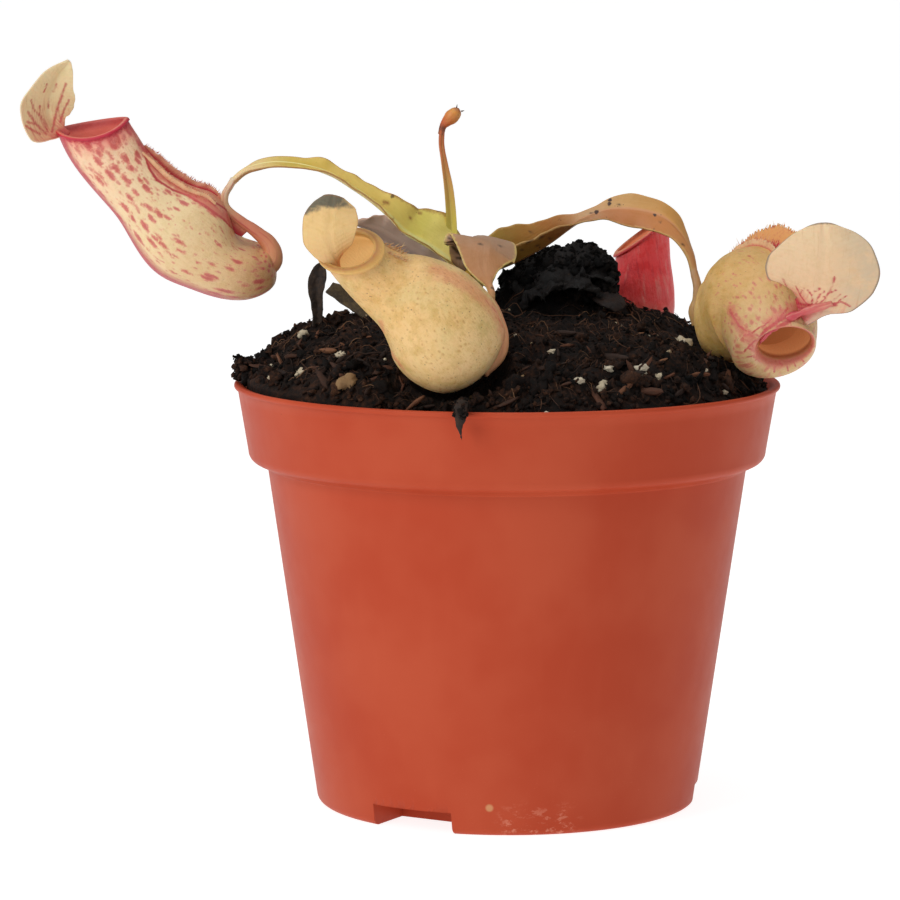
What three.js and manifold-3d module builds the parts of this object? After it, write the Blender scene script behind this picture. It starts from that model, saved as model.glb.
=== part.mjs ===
// A potted pitcher plant: a plastic nursery pot filled with heaped compost, and a small
// plant whose leaves end in tendrils that carry hollow, lidded pitchers.
// Millimetres, +Z up. The origin is the middle of the pot's flat underside, and the side
// that is seen first faces -Y.
import * as THREE from "three";
import { mergeVertices } from "three/addons/utils/BufferGeometryUtils.js";
import Module from "manifold-3d";

const wasm = await Module();
wasm.setup();

// Driving dimensions
const POT_HEIGHT = 94.2;
const LIP_RADIUS = 60.6;
const LIP_HEIGHT = 1.4;
const BAND_TOP_RADIUS = 59.8;
const BAND_FOOT_RADIUS = 57.5;
const BAND_DEPTH = 17.4;
const SHOULDER_RADIUS = 53.2;
const SHOULDER_DROP = 1.8;
const FOOT_RADIUS = 42.5;
const FOOT_ROUND = 1.8;
const WALL = 1.2;
const POT_FLOOR = 1.5;
const POT_SIDES = 54;

const NOTCHES = 3;
const NOTCH_FIRST_DEG = -120;
const NOTCH_WIDTH = 19.5;
const NOTCH_HEIGHT = 4.9;
const NOTCH_DEPTH = 13;
const DRAIN_RADIUS = 3;

const GAP = 0.3;
const SOIL_EDGE = 92.4;
const SOIL_RISE = 16;
const SOIL_FALL_LENGTH = 12;
const SOIL_SIDES = 46;
const SOIL_RINGS = 12;

const STEM_FOOT = [-9, 1.5, 92];
const STEM_TOP = [-10.6, 0.4, 119.4];
const STEM_RADIUS = 2.3;

const BLADE_THICKNESS = 0.8;
const TENDRIL_RADIUS = 0.8;
const CUP_WALL = 0.8;
const CUP_SIDES = 16;
const CUP_STEPS = 12;
const WELL_STEPS = 7;
const WING_THICKNESS = 0.7;

// Colours, as the photograph shows them
const PAINT = {
  pot: [0xb9482b, 0.45],
  soil: [0x241a14, 0.95],
  stem: [0x8a7a3c, 0.7],
  leaf: [0xaab03e, 0.5],
  leafOld: [0xc9963e, 0.55],
  leafMauve: [0x9a7f72, 0.6],
  cream: [0xe2be7a, 0.5],
  speckled: [0xdfb585, 0.5],
  red: [0xb5303c, 0.45],
  lid: [0xe8d3a4, 0.55],
  withered: [0x2b211a, 0.9],
  witheredOlive: [0x4a4030, 0.9],
};

// Small helpers

const vec = (p) => (p.isVector3 ? p.clone() : new THREE.Vector3(...p));

const clamp01 = (t) => Math.min(1, Math.max(0, t));

const smooth = (t) => clamp01(t) ** 2 * (3 - 2 * clamp01(t));

// Reads a value from [place, value] stops, eased between neighbours. A value is a number or a
// list of three numbers.
function along(stops, s) {
  if (!Array.isArray(stops)) return stops;
  let i = 0;
  while (i < stops.length - 2 && s > stops[i + 1][0]) i++;
  const [s0, a] = stops[i];
  const [s1, b] = stops[Math.min(i + 1, stops.length - 1)];
  const t = s1 > s0 ? smooth((s - s0) / (s1 - s0)) : 0;
  if (Array.isArray(a)) return a.map((v, k) => v + (b[k] - v) * t);
  return a + (b - a) * t;
}

const curveOf = (points) =>
  new THREE.CatmullRomCurve3(points.map(vec), false, "centripetal");

// Tangent, facing direction and sideways direction of a curve at s.
function frameAt(curve, face, s) {
  const tangent = curve.getTangentAt(clamp01(s));
  const up = vec(along(face, s));
  up.addScaledVector(tangent, -up.dot(tangent)).normalize();
  const side = new THREE.Vector3().crossVectors(tangent, up);
  return { centre: curve.getPointAt(clamp01(s)), tangent, up, side };
}

// A closed mesh through rings of equal length, closed by a strip across each end.
function loft(rings) {
  const n = rings[0].length;
  const flat = [];
  rings.forEach((ring) => ring.forEach((p) => flat.push(p.x, p.y, p.z)));
  const faces = [];
  for (let i = 0; i < rings.length - 1; i++)
    for (let j = 0; j < n; j++) {
      const a = i * n + j;
      const b = i * n + ((j + 1) % n);
      faces.push(a, b, a + n, b, b + n, a + n);
    }
  const last = (rings.length - 1) * n;
  for (let j = 0; j < n / 2 - 1; j++) {
    const [a, b, c, d] = [j, j + 1, n - 2 - j, n - 1 - j];
    faces.push(c, b, a, d, c, a);
    faces.push(last + a, last + b, last + c, last + a, last + c, last + d);
  }
  return solid(new Float32Array(flat), new Uint32Array(faces));
}

// A solid from vertices and triangles, turned right side out.
function solid(vertProperties, triVerts) {
  const made = new wasm.Manifold(new wasm.Mesh({ numProp: 3, vertProperties, triVerts }));
  if (made.volume() > 0) return made;
  for (let i = 0; i < triVerts.length; i += 3)
    [triVerts[i + 1], triVerts[i + 2]] = [triVerts[i + 2], triVerts[i + 1]];
  return new wasm.Manifold(new wasm.Mesh({ numProp: 3, vertProperties, triVerts }));
}

// A three.js geometry as a solid.
function solidOf(geometry) {
  const bare = new THREE.BufferGeometry();
  bare.setAttribute("position", geometry.getAttribute("position"));
  if (geometry.index) bare.setIndex(geometry.index);
  const merged = mergeVertices(bare, 1e-3);
  return solid(merged.attributes.position.array, new Uint32Array(merged.index.array));
}

// The largest body of a solid, so that a cut leaves no loose scrap.
function largest(made) {
  const bodies = made.decompose();
  return bodies.reduce((a, b) => (b.volume() > a.volume() ? b : a));
}

// Plant parts

// A round rod along a curve, its radius read from stops: a tendril, a stem or a bud.
function rod({ spine, radius, steps = 12, sides = 8, grow = 0 }) {
  const curve = curveOf(spine);
  const face = [
    [0, [0.2, -1, 0.3]],
    [1, [0.2, -1, 0.3]],
  ];
  const rings = [];
  for (let i = 0; i <= steps; i++) {
    const s = i / steps;
    const { centre, tangent, up, side } = frameAt(curve, face, s);
    centre.addScaledVector(tangent, i === 0 ? -grow : i === steps ? grow : 0);
    const r = along(radius, s) + grow;
    rings.push(
      Array.from({ length: sides }, (_, j) => {
        const a = (2 * Math.PI * j) / sides;
        return centre
          .clone()
          .addScaledVector(up, r * Math.cos(a))
          .addScaledVector(side, r * Math.sin(a));
      }),
    );
  }
  return loft(rings);
}

// A thin blade along its midrib. left and right are the half widths, foldLeft and foldRight
// lift the halves towards the facing side in degrees, rod goes to 1 where the blade has
// narrowed to a round tendril, and wave is the height of the waved margin.
function blade({
  spine,
  face,
  left,
  right,
  foldLeft = 0,
  foldRight = 0,
  thickness = BLADE_THICKNESS,
  round = 0,
  wave = 0,
  waves = 5,
  lobes = 0,
  steps = 26,
  across = 5,
  grow = 0,
}) {
  const curve = curveOf(spine);
  const rings = [];
  for (let i = 0; i <= steps; i++) {
    const s = i / steps;
    const { centre, tangent, up, side } = frameAt(curve, face, s);
    centre.addScaledVector(tangent, i === 0 ? -grow : i === steps ? grow : 0);
    const roundness = along(round, s);
    const point = (x, upper) => {
      const half = (x < 0 ? along(left, s) : along(right, s)) + grow;
      const fold = THREE.MathUtils.degToRad(x < 0 ? along(foldLeft, s) : along(foldRight, s));
      const reach = Math.sqrt(x * x + 0.01) - 0.1;
      const beat = Math.sin(2 * Math.PI * waves * s + (x < 0 ? 0.9 : 2.6));
      const ripple = along(wave, s) * x ** 2 * beat;
      const t = (along(thickness, s) / 2) * Math.sqrt(1 - roundness * 0.96 * x * x) + grow;
      return centre
        .clone()
        .addScaledVector(side, half * x * Math.cos(fold))
        .addScaledVector(up, half * reach * Math.sin(fold) + ripple + (upper ? t : -t))
        .addScaledVector(tangent, -along(lobes, s) * x * x);
    };
    const xs = Array.from({ length: across }, (_, k) => -1 + (2 * k) / (across - 1));
    rings.push([...xs.map((x) => point(x, true)), ...xs.reverse().map((x) => point(x, false))]);
  }
  return loft(rings);
}

// The surface of a pitcher's cup at s along its axis and at angle a, where 0 is the back,
// which carries the lid, and half a turn is the front.
function cupPoint(cup, curve, s, a, more = 0, ahead = 0) {
  const { centre, tangent, up, side } = frameAt(curve, cup.front, s);
  const deep = along(cup.deep, s) + more;
  const wide = along(cup.wide, s) + more;
  const lean = cup.mouthLean * smooth((s - 0.55) / 0.45);
  return centre
    .addScaledVector(up, -deep * Math.cos(a))
    .addScaledVector(side, wide * Math.sin(a))
    .addScaledVector(tangent, lean * deep * Math.cos(a) + ahead);
}

// The outside of a pitcher as a full solid, with its lip flared out around the mouth.
function cupHull(cup, grow = 0) {
  const curve = curveOf(cup.spine);
  const angles = Array.from({ length: CUP_SIDES }, (_, j) => (2 * Math.PI * j) / CUP_SIDES);
  const ring = (s, more, ahead) =>
    angles.map((a) => {
      const flare = cup.lip + cup.lipDrop * ((1 - Math.cos(a)) / 2) ** 2.6;
      return cupPoint(cup, curve, s, a, more * flare + grow, ahead(flare));
    });
  const rings = [];
  for (let i = 0; i < CUP_STEPS; i++) rings.push(ring(i / CUP_STEPS, 0, () => 0));
  rings.push(ring(1, 0, () => -grow));
  rings.push(ring(1, 1, (flare) => 0.1 - 0.12 * flare - grow));
  rings.push(ring(1, 0.94, (flare) => 0.95 - 0.12 * flare + grow));
  rings.push(ring(1, 0.1, () => 1.2 + grow));
  return loft(rings);
}

// The hollow of a pitcher, which runs out past its mouth.
function cupWell(cup) {
  const curve = curveOf(cup.spine);
  const ring = (s, ahead) =>
    Array.from({ length: CUP_SIDES }, (_, j) =>
      cupPoint(cup, curve, s, (2 * Math.PI * j) / CUP_SIDES, -CUP_WALL, ahead),
    );
  const rings = [];
  for (let i = 0; i < WELL_STEPS; i++)
    rings.push(ring(cup.wellFoot + ((1 - cup.wellFoot) * i) / (WELL_STEPS - 1), 0));
  rings.push(ring(1, 2.5));
  return loft(rings);
}

// A toothed wing that runs down the pitcher at angle a.
function wing(cup, { angle, from, to, height, teeth }) {
  const curve = curveOf(cup.spine);
  const a = THREE.MathUtils.degToRad(angle);
  const rings = [];
  const steps = teeth * 2;
  for (let i = 0; i <= steps; i++) {
    const t = i / steps;
    const s = from + (to - from) * t;
    const rise = height * Math.sin(Math.PI * clamp01(0.06 + 0.9 * t)) ** 0.6;
    const root = cupPoint(cup, curve, s, a, -0.45);
    const tip = cupPoint(cup, curve, s, a, rise * (i % 2 ? 1 : 0.5));
    const out = tip.clone().sub(root).normalize();
    const across = new THREE.Vector3().crossVectors(curve.getTangentAt(s), out).normalize();
    const corner = (p, offset) => p.clone().addScaledVector(across, offset);
    rings.push([
      corner(root, -WING_THICKNESS / 2),
      corner(root, WING_THICKNESS / 2),
      corner(tip, WING_THICKNESS / 2.4),
      corner(tip, -WING_THICKNESS / 2.4),
    ]);
  }
  return loft(rings);
}

// A pitcher with its wings and the end of its tendril, grown as one piece.
function pitcherSolid(cup) {
  let made = cupHull(cup).add(rod(cup.tendril));
  cup.wings.forEach((w) => {
    made = made.add(wing(cup, w));
  });
  return largest(made.subtract(cupWell(cup)));
}

// A lid, whose neck starts a gap away from the back of the mouth.
const lidSolid = (shape, cup) => largest(blade(shape).subtract(cupHull(cup, 1.5 * GAP)));

// Pitchers. Each spine runs from the bottom of the bulb to the middle of the mouth.

const PITCHER_LEFT = {
  spine: [
    [-51.4, -4, 121.6],
    [-55.2, -4, 120.3],
    [-61.6, -4, 121.2],
    [-68, -4, 124.7],
    [-74.9, -4, 129.2],
    [-80.5, -4, 135],
    [-85.8, -4, 141],
    [-89, -4, 146.2],
    [-90.6, -4, 149.8],
  ],
  front: [
    [0, [0.75, -0.15, 0.65]],
    [1, [0.85, -0.15, 0.5]],
  ],
  deep: [
    [0, 1.5],
    [0.05, 6.6],
    [0.16, 9],
    [0.26, 9],
    [0.42, 10.4],
    [0.52, 9.6],
    [0.66, 7.9],
    [0.8, 7.4],
    [1, 7.4],
  ],
  wide: [
    [0, 1.5],
    [0.05, 6],
    [0.16, 8.4],
    [0.42, 9.6],
    [0.52, 8.8],
    [0.66, 7.4],
    [0.8, 7],
    [1, 6.4],
  ],
  mouthLean: 0.33,
  lip: 0.9,
  lipDrop: 0,
  wellFoot: 0.1,
  wings: [
    { angle: 174, from: 0.36, to: 0.82, height: 2.6, teeth: 13 },
    { angle: 200, from: 0.36, to: 0.82, height: 2, teeth: 13 },
  ],
  tendril: {
    spine: [
      [-60.9, -5, 138.1],
      [-62.2, -5, 135.8],
      [-62, -5, 133.2],
      [-58.8, -5, 130.2],
      [-55.2, -4.8, 127.6],
      [-52.4, -4.6, 124.8],
      [-51.8, -4.4, 121.6],
      [-54.6, -4, 119],
    ],
    radius: [
      [0, 0.8],
      [0.2, 0.85],
      [0.5, 1.4],
      [0.8, 2],
      [1, 2.4],
    ],
  },
};

const PITCHER_FRONT = {
  spine: [
    [-5, -45, 99],
    [-6.8, -45.4, 101],
    [-9.2, -46, 104],
    [-12.6, -46.4, 108],
    [-16.4, -46.8, 113.4],
    [-21.1, -47.4, 117.4],
    [-25.6, -48.4, 120.4],
    [-29.4, -50, 123.8],
    [-32.8, -52.4, 127.4],
  ],
  front: [
    [0, [0.4, -0.7, 0.5]],
    [1, [0.4, -0.75, 0.5]],
  ],
  deep: [
    [0, 1.5],
    [0.06, 6.4],
    [0.155, 11.6],
    [0.29, 13.4],
    [0.45, 11.6],
    [0.6, 9.2],
    [0.74, 7.4],
    [0.88, 6.8],
    [1, 5.6],
  ],
  wide: [
    [0, 1.5],
    [0.06, 7],
    [0.155, 12],
    [0.29, 13.2],
    [0.45, 11.4],
    [0.6, 9.2],
    [0.74, 7.4],
    [0.88, 6.8],
    [1, 5.6],
  ],
  mouthLean: 0.55,
  lip: 0.8,
  lipDrop: 0.3,
  wellFoot: 0.1,
  wings: [
    { angle: 158, from: 0.56, to: 0.93, height: 1.2, teeth: 9 },
    { angle: 134, from: 0.5, to: 0.93, height: 1.4, teeth: 9 },
  ],
  tendril: {
    spine: [
      [-3.6, -30, 114.4],
      [-3, -33.4, 113.6],
      [-2.2, -37.2, 111.8],
      [-1.4, -40.6, 108.4],
      [-2.2, -43.2, 104.6],
      [-6, -45.4, 101.4],
    ],
    radius: [
      [0, 0.8],
      [0.4, 1],
      [1, 1.8],
    ],
  },
};

const PITCHER_RIGHT = {
  spine: [
    [42, -3, 108.6],
    [44.6, -4, 109.6],
    [48.6, -7.4, 111.2],
    [53.4, -12.6, 113.2],
    [57.4, -18.4, 112.8],
    [59.4, -23, 109.6],
    [60.4, -26.6, 106.5],
  ],
  front: [
    [0, [-0.4, 0.2, -0.85]],
    [1, [-0.5, 0.1, -0.85]],
  ],
  deep: [
    [0, 1.5],
    [0.06, 6],
    [0.24, 10],
    [0.48, 13],
    [0.68, 10.6],
    [0.86, 7.8],
    [1, 6.4],
  ],
  wide: [
    [0, 1.5],
    [0.06, 6],
    [0.24, 9.8],
    [0.48, 12.2],
    [0.68, 10.4],
    [0.86, 7.8],
    [1, 6.4],
  ],
  mouthLean: 0.1,
  lip: 1.2,
  lipDrop: 6.6,
  wellFoot: 0.14,
  wings: [
    { angle: 4, from: 0.22, to: 0.78, height: 4.4, teeth: 12 },
    { angle: 344, from: 0.26, to: 0.7, height: 2, teeth: 10 },
  ],
  tendril: {
    spine: [
      [41.4, -2.7, 118],
      [42, -3.2, 115.4],
      [42, -3.4, 112.4],
      [41.4, -3.2, 110],
      [42.4, -3.2, 107.4],
    ],
    radius: [
      [0, 0.8],
      [0.6, 1.2],
      [1, 1.7],
    ],
  },
};

const PITCHER_REAR = {
  spine: [
    [29.8, 26.6, 102],
    [30.4, 27.2, 104.4],
    [31.2, 28, 108.6],
    [31.6, 28, 114],
    [31.6, 28, 119.6],
    [31.4, 28, 124],
  ],
  front: [
    [0, [-0.8, -0.6, 0]],
    [1, [-0.8, -0.6, 0]],
  ],
  deep: [
    [0, 1.5],
    [0.08, 5.6],
    [0.25, 8],
    [0.45, 7.8],
    [0.75, 6.6],
    [1, 6.2],
  ],
  wide: [
    [0, 1.5],
    [0.08, 5.6],
    [0.25, 7.8],
    [0.45, 7.4],
    [0.75, 6.4],
    [1, 6],
  ],
  mouthLean: 0.75,
  lip: 0.8,
  lipDrop: 0,
  wellFoot: 0.12,
  wings: [
    { angle: 164, from: 0.3, to: 0.9, height: 1.4, teeth: 8 },
    { angle: 196, from: 0.3, to: 0.9, height: 1.4, teeth: 8 },
  ],
  tendril: {
    spine: [
      [14.9, 24.6, 112.2],
      [19, 27.4, 109.8],
      [23, 29.6, 106.6],
      [26.6, 29.4, 103.8],
      [29.4, 27.6, 103],
    ],
    radius: [
      [0, 0.9],
      [0.6, 1.1],
      [1, 1.6],
    ],
  },
};

// Leaves. Each spine is a midrib that runs from the stem out to the tendril.

const FLAT_ROD = TENDRIL_RADIUS * 2;

const LEAF_LEFT = {
  spine: [
    [-10, 0, 117.4],
    [-12.4, -1, 120.4],
    [-14.9, -2, 122.6],
    [-18.4, -3, 124.9],
    [-22.6, -4, 127.4],
    [-26.3, -5, 131.2],
    [-30.3, -5.5, 134.8],
    [-34.6, -5.8, 138.1],
    [-39, -5.8, 140.7],
    [-43.4, -5.6, 142.3],
    [-47.8, -5.4, 143],
    [-51.8, -5.2, 143.2],
    [-55.3, -5, 142.4],
    [-58.2, -5, 141],
    [-60.4, -5, 138.8],
  ],
  face: [
    [0, [0.5, -0.75, 0.6]],
    [0.3, [0.4, -0.75, 0.6]],
    [0.6, [0.2, -0.6, 0.85]],
    [0.76, [0, -0.75, 0.7]],
    [0.9, [-0.3, -0.7, 0.7]],
    [1, [-0.8, -0.4, 0.5]],
  ],
  left: [
    [0, 2],
    [0.1, 2.8],
    [0.3, 2],
    [0.5, 1.4],
    [0.68, 1],
    [0.78, 1.4],
    [0.88, 1.3],
    [0.95, 0.8],
    [1, 0.8],
  ],
  right: [
    [0, 3],
    [0.09, 7.6],
    [0.16, 9],
    [0.27, 6.8],
    [0.4, 3.8],
    [0.54, 2.3],
    [0.6, 2.1],
    [0.66, 3.4],
    [0.73, 1.7],
    [0.88, 1.3],
    [0.95, 0.8],
    [1, 0.8],
  ],
  foldLeft: [
    [0, 50],
    [0.5, 50],
    [0.8, 20],
    [1, 0],
  ],
  foldRight: [
    [0, 6],
    [0.5, 16],
    [0.62, 20],
    [0.66, 36],
    [0.74, 12],
    [1, 0],
  ],
  thickness: [
    [0, 1.1],
    [0.15, BLADE_THICKNESS],
    [0.84, BLADE_THICKNESS],
    [0.94, FLAT_ROD],
    [1, FLAT_ROD],
  ],
  round: [
    [0, 0],
    [0.84, 0],
    [0.95, 1],
    [1, 1],
  ],
  wave: [
    [0, 0],
    [0.1, 0.35],
    [0.5, 0.3],
    [0.85, 0],
    [1, 0],
  ],
  steps: 30,
};

const LEAF_YOUNG = {
  spine: [
    [-12.2, 1.8, 122],
    [-12.4, 2.4, 127],
    [-12.7, 2.4, 131.6],
    [-13.4, 2.2, 137],
    [-14.3, 1.9, 142.2],
    [-15, 1.5, 146.8],
    [-14.9, 1.2, 150],
  ],
  face: [
    [0, [-0.2, -1, 0]],
    [1, [0.5, -1, 0]],
  ],
  left: [
    [0, 1],
    [0.2, 1.5],
    [0.5, 1.3],
    [0.8, 0.8],
    [1, 0.75],
  ],
  right: [
    [0, 1],
    [0.2, 1.5],
    [0.5, 1.3],
    [0.8, 0.8],
    [1, 0.75],
  ],
  foldLeft: 38,
  foldRight: 38,
  thickness: [
    [0, 1],
    [0.6, 1.1],
    [0.85, 1.5],
    [1, 1.4],
  ],
  round: [
    [0, 0.2],
    [0.6, 0.4],
    [0.85, 1],
    [1, 1],
  ],
  steps: 14,
};

const BUD = {
  spine: [
    [-14.5, 1.1, 150.9],
    [-13.7, 1, 152],
    [-12, 0.8, 153.8],
    [-10.9, 0.8, 155.4],
  ],
  radius: [
    [0, 0.8],
    [0.25, 1.3],
    [0.6, 1.65],
    [0.85, 1.2],
    [1, 0.3],
  ],
  steps: 8,
};

const LEAF_FRONT = {
  spine: [
    [-10.6, -1.6, 119],
    [-10.4, -4.4, 124],
    [-8, -8, 127],
    [-5.2, -12, 127.8],
    [-5.4, -16, 125.8],
    [-5.6, -19.6, 121.8],
    [-4.8, -23, 118.8],
    [-3.8, -26, 116.6],
    [-3.8, -29.4, 115],
  ],
  face: [
    [0, [0.2, 0.1, 1]],
    [0.3, [0, 0, 1]],
    [0.5, [0, -0.6, 0.8]],
    [0.75, [0, -0.8, 0.6]],
    [1, [0, -0.4, 0.9]],
  ],
  left: [
    [0, 1.6],
    [0.16, 3],
    [0.38, 7.6],
    [0.5, 6.6],
    [0.64, 4.6],
    [0.77, 2.1],
    [0.86, 0.8],
    [1, 0.8],
  ],
  right: [
    [0, 1.6],
    [0.16, 3],
    [0.38, 10],
    [0.5, 7.4],
    [0.64, 4.4],
    [0.77, 2.1],
    [0.86, 0.8],
    [1, 0.8],
  ],
  foldLeft: [
    [0, 10],
    [0.4, 4],
    [0.7, -16],
    [0.9, 0],
    [1, 0],
  ],
  foldRight: [
    [0, 10],
    [0.4, -2],
    [0.7, -16],
    [0.9, 0],
    [1, 0],
  ],
  thickness: [
    [0, 1],
    [0.2, BLADE_THICKNESS],
    [0.74, BLADE_THICKNESS],
    [0.86, FLAT_ROD],
    [1, FLAT_ROD],
  ],
  round: [
    [0, 0],
    [0.74, 0],
    [0.86, 1],
    [1, 1],
  ],
  wave: [
    [0, 0],
    [0.3, 0.5],
    [0.6, 0.3],
    [0.8, 0],
    [1, 0],
  ],
  steps: 22,
};

const LEAF_RIGHT = {
  spine: [
    [-9.4, 1, 116.8],
    [-5.2, 2.2, 118.2],
    [-1, 3, 119.6],
    [3.3, 4.4, 121.4],
    [8.5, 5.4, 124.2],
    [13.4, 5.8, 127.6],
    [17.6, 5.6, 130],
    [22.9, 5, 131.6],
    [28.6, 3.6, 131.6],
    [33.9, 1.8, 130.1],
    [37.6, 0, 127],
    [40, -1.6, 122.6],
    [41.2, -2.6, 118.4],
  ],
  face: [
    [0, [-0.3, -0.2, 0.9]],
    [0.3, [-0.3, -0.2, 0.9]],
    [0.46, [-0.2, -0.5, 0.9]],
    [0.56, [0, -0.75, 0.65]],
    [0.72, [0.2, -0.8, 0.6]],
    [0.88, [0.7, -0.6, 0.3]],
    [1, [0.9, -0.5, 0.2]],
  ],
  left: [
    [0, 2],
    [0.16, 8.4],
    [0.24, 7.6],
    [0.38, 4.4],
    [0.47, 1.5],
    [0.52, 1.6],
    [0.64, 4.8],
    [0.76, 4.4],
    [0.86, 2.6],
    [0.95, 1.2],
    [1, 0.8],
  ],
  right: [
    [0, 2],
    [0.14, 5.4],
    [0.22, 5],
    [0.36, 3.2],
    [0.46, 1.3],
    [0.52, 1.4],
    [0.64, 4],
    [0.76, 4.2],
    [0.86, 2.4],
    [0.95, 1.2],
    [1, 0.8],
  ],
  foldLeft: [
    [0, 60],
    [0.2, 72],
    [0.38, 66],
    [0.5, 10],
    [0.62, -10],
    [0.88, -14],
    [1, 0],
  ],
  foldRight: [
    [0, 54],
    [0.36, 60],
    [0.5, 10],
    [0.62, -22],
    [0.88, -18],
    [1, 0],
  ],
  thickness: [
    [0, 1],
    [0.1, BLADE_THICKNESS],
    [0.86, BLADE_THICKNESS],
    [0.97, FLAT_ROD],
    [1, FLAT_ROD],
  ],
  round: [
    [0, 0],
    [0.88, 0],
    [0.97, 1],
    [1, 1],
  ],
  wave: [
    [0, 0],
    [0.2, 0.3],
    [0.8, 0.4],
    [0.95, 0],
    [1, 0],
  ],
  steps: 30,
};

const LEAF_BEHIND = {
  spine: [
    [-11.4, 1.6, 116.6],
    [-15.8, 4, 119.8],
    [-20.5, 6, 122.6],
    [-25.6, 7, 125.8],
    [-30, 7, 128],
    [-33.6, 6.4, 128.8],
  ],
  face: [
    [0, [0.3, 0.5, 0.8]],
    [0.5, [0.1, 0.75, 0.65]],
    [1, [-0.3, 0.7, 0.6]],
  ],
  left: [
    [0, 1.4],
    [0.2, 4.4],
    [0.6, 4.6],
    [0.85, 3],
    [1, 0.7],
  ],
  right: [
    [0, 1.4],
    [0.2, 4.4],
    [0.6, 4.6],
    [0.85, 3],
    [1, 0.7],
  ],
  foldLeft: 12,
  foldRight: 12,
  wave: 0.4,
  steps: 14,
};

const LEAF_REAR = {
  spine: [
    [-8.4, 3, 112.6],
    [-4.4, 8.6, 119],
    [-0.6, 13.4, 122],
    [4, 18.4, 120],
    [8.6, 21.6, 116],
    [14.6, 24.4, 112.4],
  ],
  face: [
    [0, [-0.3, -0.5, 0.8]],
    [0.5, [0, 0, 1]],
    [1, [0.4, 0.3, 0.8]],
  ],
  left: [
    [0, 1.4],
    [0.25, 4],
    [0.55, 4],
    [0.8, 1.6],
    [0.9, 0.9],
    [1, 0.9],
  ],
  right: [
    [0, 1.4],
    [0.25, 4],
    [0.55, 4],
    [0.8, 1.6],
    [0.9, 0.9],
    [1, 0.9],
  ],
  foldLeft: 14,
  foldRight: 14,
  thickness: [
    [0, 1],
    [0.7, BLADE_THICKNESS],
    [0.9, FLAT_ROD],
    [1, FLAT_ROD],
  ],
  round: [
    [0, 0],
    [0.75, 0],
    [0.9, 1],
    [1, 1],
  ],
  wave: [
    [0, 0],
    [0.4, 0.4],
    [0.8, 0],
    [1, 0],
  ],
  steps: 16,
};

const LEAF_BASAL = {
  spine: [
    [-9.8, -1.6, 113.4],
    [-8.8, -5, 116.4],
    [-7.6, -8.4, 117.6],
    [-6.6, -11.4, 117],
  ],
  face: [
    [0, [0.1, -0.2, 1]],
    [1, [0.1, -0.8, 0.6]],
  ],
  left: [
    [0, 1.4],
    [0.5, 3],
    [1, 0.6],
  ],
  right: [
    [0, 1.4],
    [0.5, 3],
    [1, 0.6],
  ],
  foldLeft: 14,
  foldRight: 14,
  steps: 9,
};

// Lids. Each spine runs from the neck at the back of the mouth out to the lid's tip.

const LID_LEFT = {
  spine: [
    [-96.6, -3.6, 149],
    [-98.4, -3.4, 149.8],
    [-100.2, -3.2, 151.4],
    [-100.6, -3.2, 155.6],
    [-99.2, -3.4, 160.4],
    [-96.4, -3.6, 165],
  ],
  face: [
    [0, [0.7, -0.7, 0]],
    [0.3, [0.6, -0.8, 0]],
    [1, [0.6, -0.8, 0]],
  ],
  left: [
    [0, 1.6],
    [0.12, 3.4],
    [0.23, 7.8],
    [0.45, 8.5],
    [0.62, 6.4],
    [0.8, 4.2],
    [0.94, 2],
    [1, 0.8],
  ],
  right: [
    [0, 1.6],
    [0.23, 1.9],
    [0.35, 4.2],
    [0.5, 6.2],
    [0.62, 6],
    [0.8, 4],
    [0.94, 1.8],
    [1, 0.8],
  ],
  foldLeft: 16,
  foldRight: 20,
  lobes: [
    [0, 0],
    [0.12, 0.6],
    [0.23, 2],
    [0.5, 1],
    [1, 0.4],
  ],
  steps: 14,
};

const LID_FRONT = {
  spine: [
    [-36.4, -51, 122.6],
    [-37.6, -52.6, 123.6],
    [-38.3, -54.6, 126.6],
    [-38.4, -56.6, 131],
    [-37.9, -57.6, 135.6],
    [-37.2, -57.6, 139.6],
  ],
  face: [
    [0, [0.4, -0.6, 0.7]],
    [0.35, [0.1, -1, 0.1]],
    [1, [0, -1, -0.1]],
  ],
  left: [
    [0, 1.6],
    [0.16, 1.8],
    [0.34, 4.4],
    [0.5, 5.2],
    [0.72, 4.9],
    [0.9, 3.4],
    [1, 1.8],
  ],
  right: [
    [0, 1.6],
    [0.16, 1.8],
    [0.34, 4.4],
    [0.5, 5.2],
    [0.72, 4.9],
    [0.9, 3.4],
    [1, 1.8],
  ],
  foldLeft: -10,
  foldRight: -10,
  lobes: [
    [0, 0],
    [0.3, 0.6],
    [0.6, 0.6],
    [1, 0.4],
  ],
  steps: 14,
};

const LID_RIGHT = {
  spine: [
    [62.4, -29.4, 111],
    [64, -31.2, 112.6],
    [66, -32.4, 115.6],
    [67, -32.6, 120.6],
    [67.5, -31.8, 126],
    [67.3, -30.6, 131.6],
  ],
  face: [
    [0, [0, -0.9, 0.5]],
    [0.3, [0, -1, 0.2]],
    [1, [0, -1, 0.2]],
  ],
  left: [
    [0, 3],
    [0.1, 3.4],
    [0.2, 6.4],
    [0.3, 10.4],
    [0.45, 12],
    [0.6, 11.9],
    [0.78, 9.8],
    [0.92, 6.2],
    [1, 3],
  ],
  right: [
    [0, 3],
    [0.1, 3.4],
    [0.2, 6.4],
    [0.3, 10.4],
    [0.45, 12.2],
    [0.6, 12.2],
    [0.78, 9.8],
    [0.92, 6.2],
    [1, 3],
  ],
  foldLeft: -8,
  foldRight: -8,
  lobes: [
    [0, 0],
    [0.14, 0.4],
    [0.3, 2.2],
    [0.6, 1.2],
    [1, 0.6],
  ],
  steps: 16,
  across: 7,
};

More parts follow.
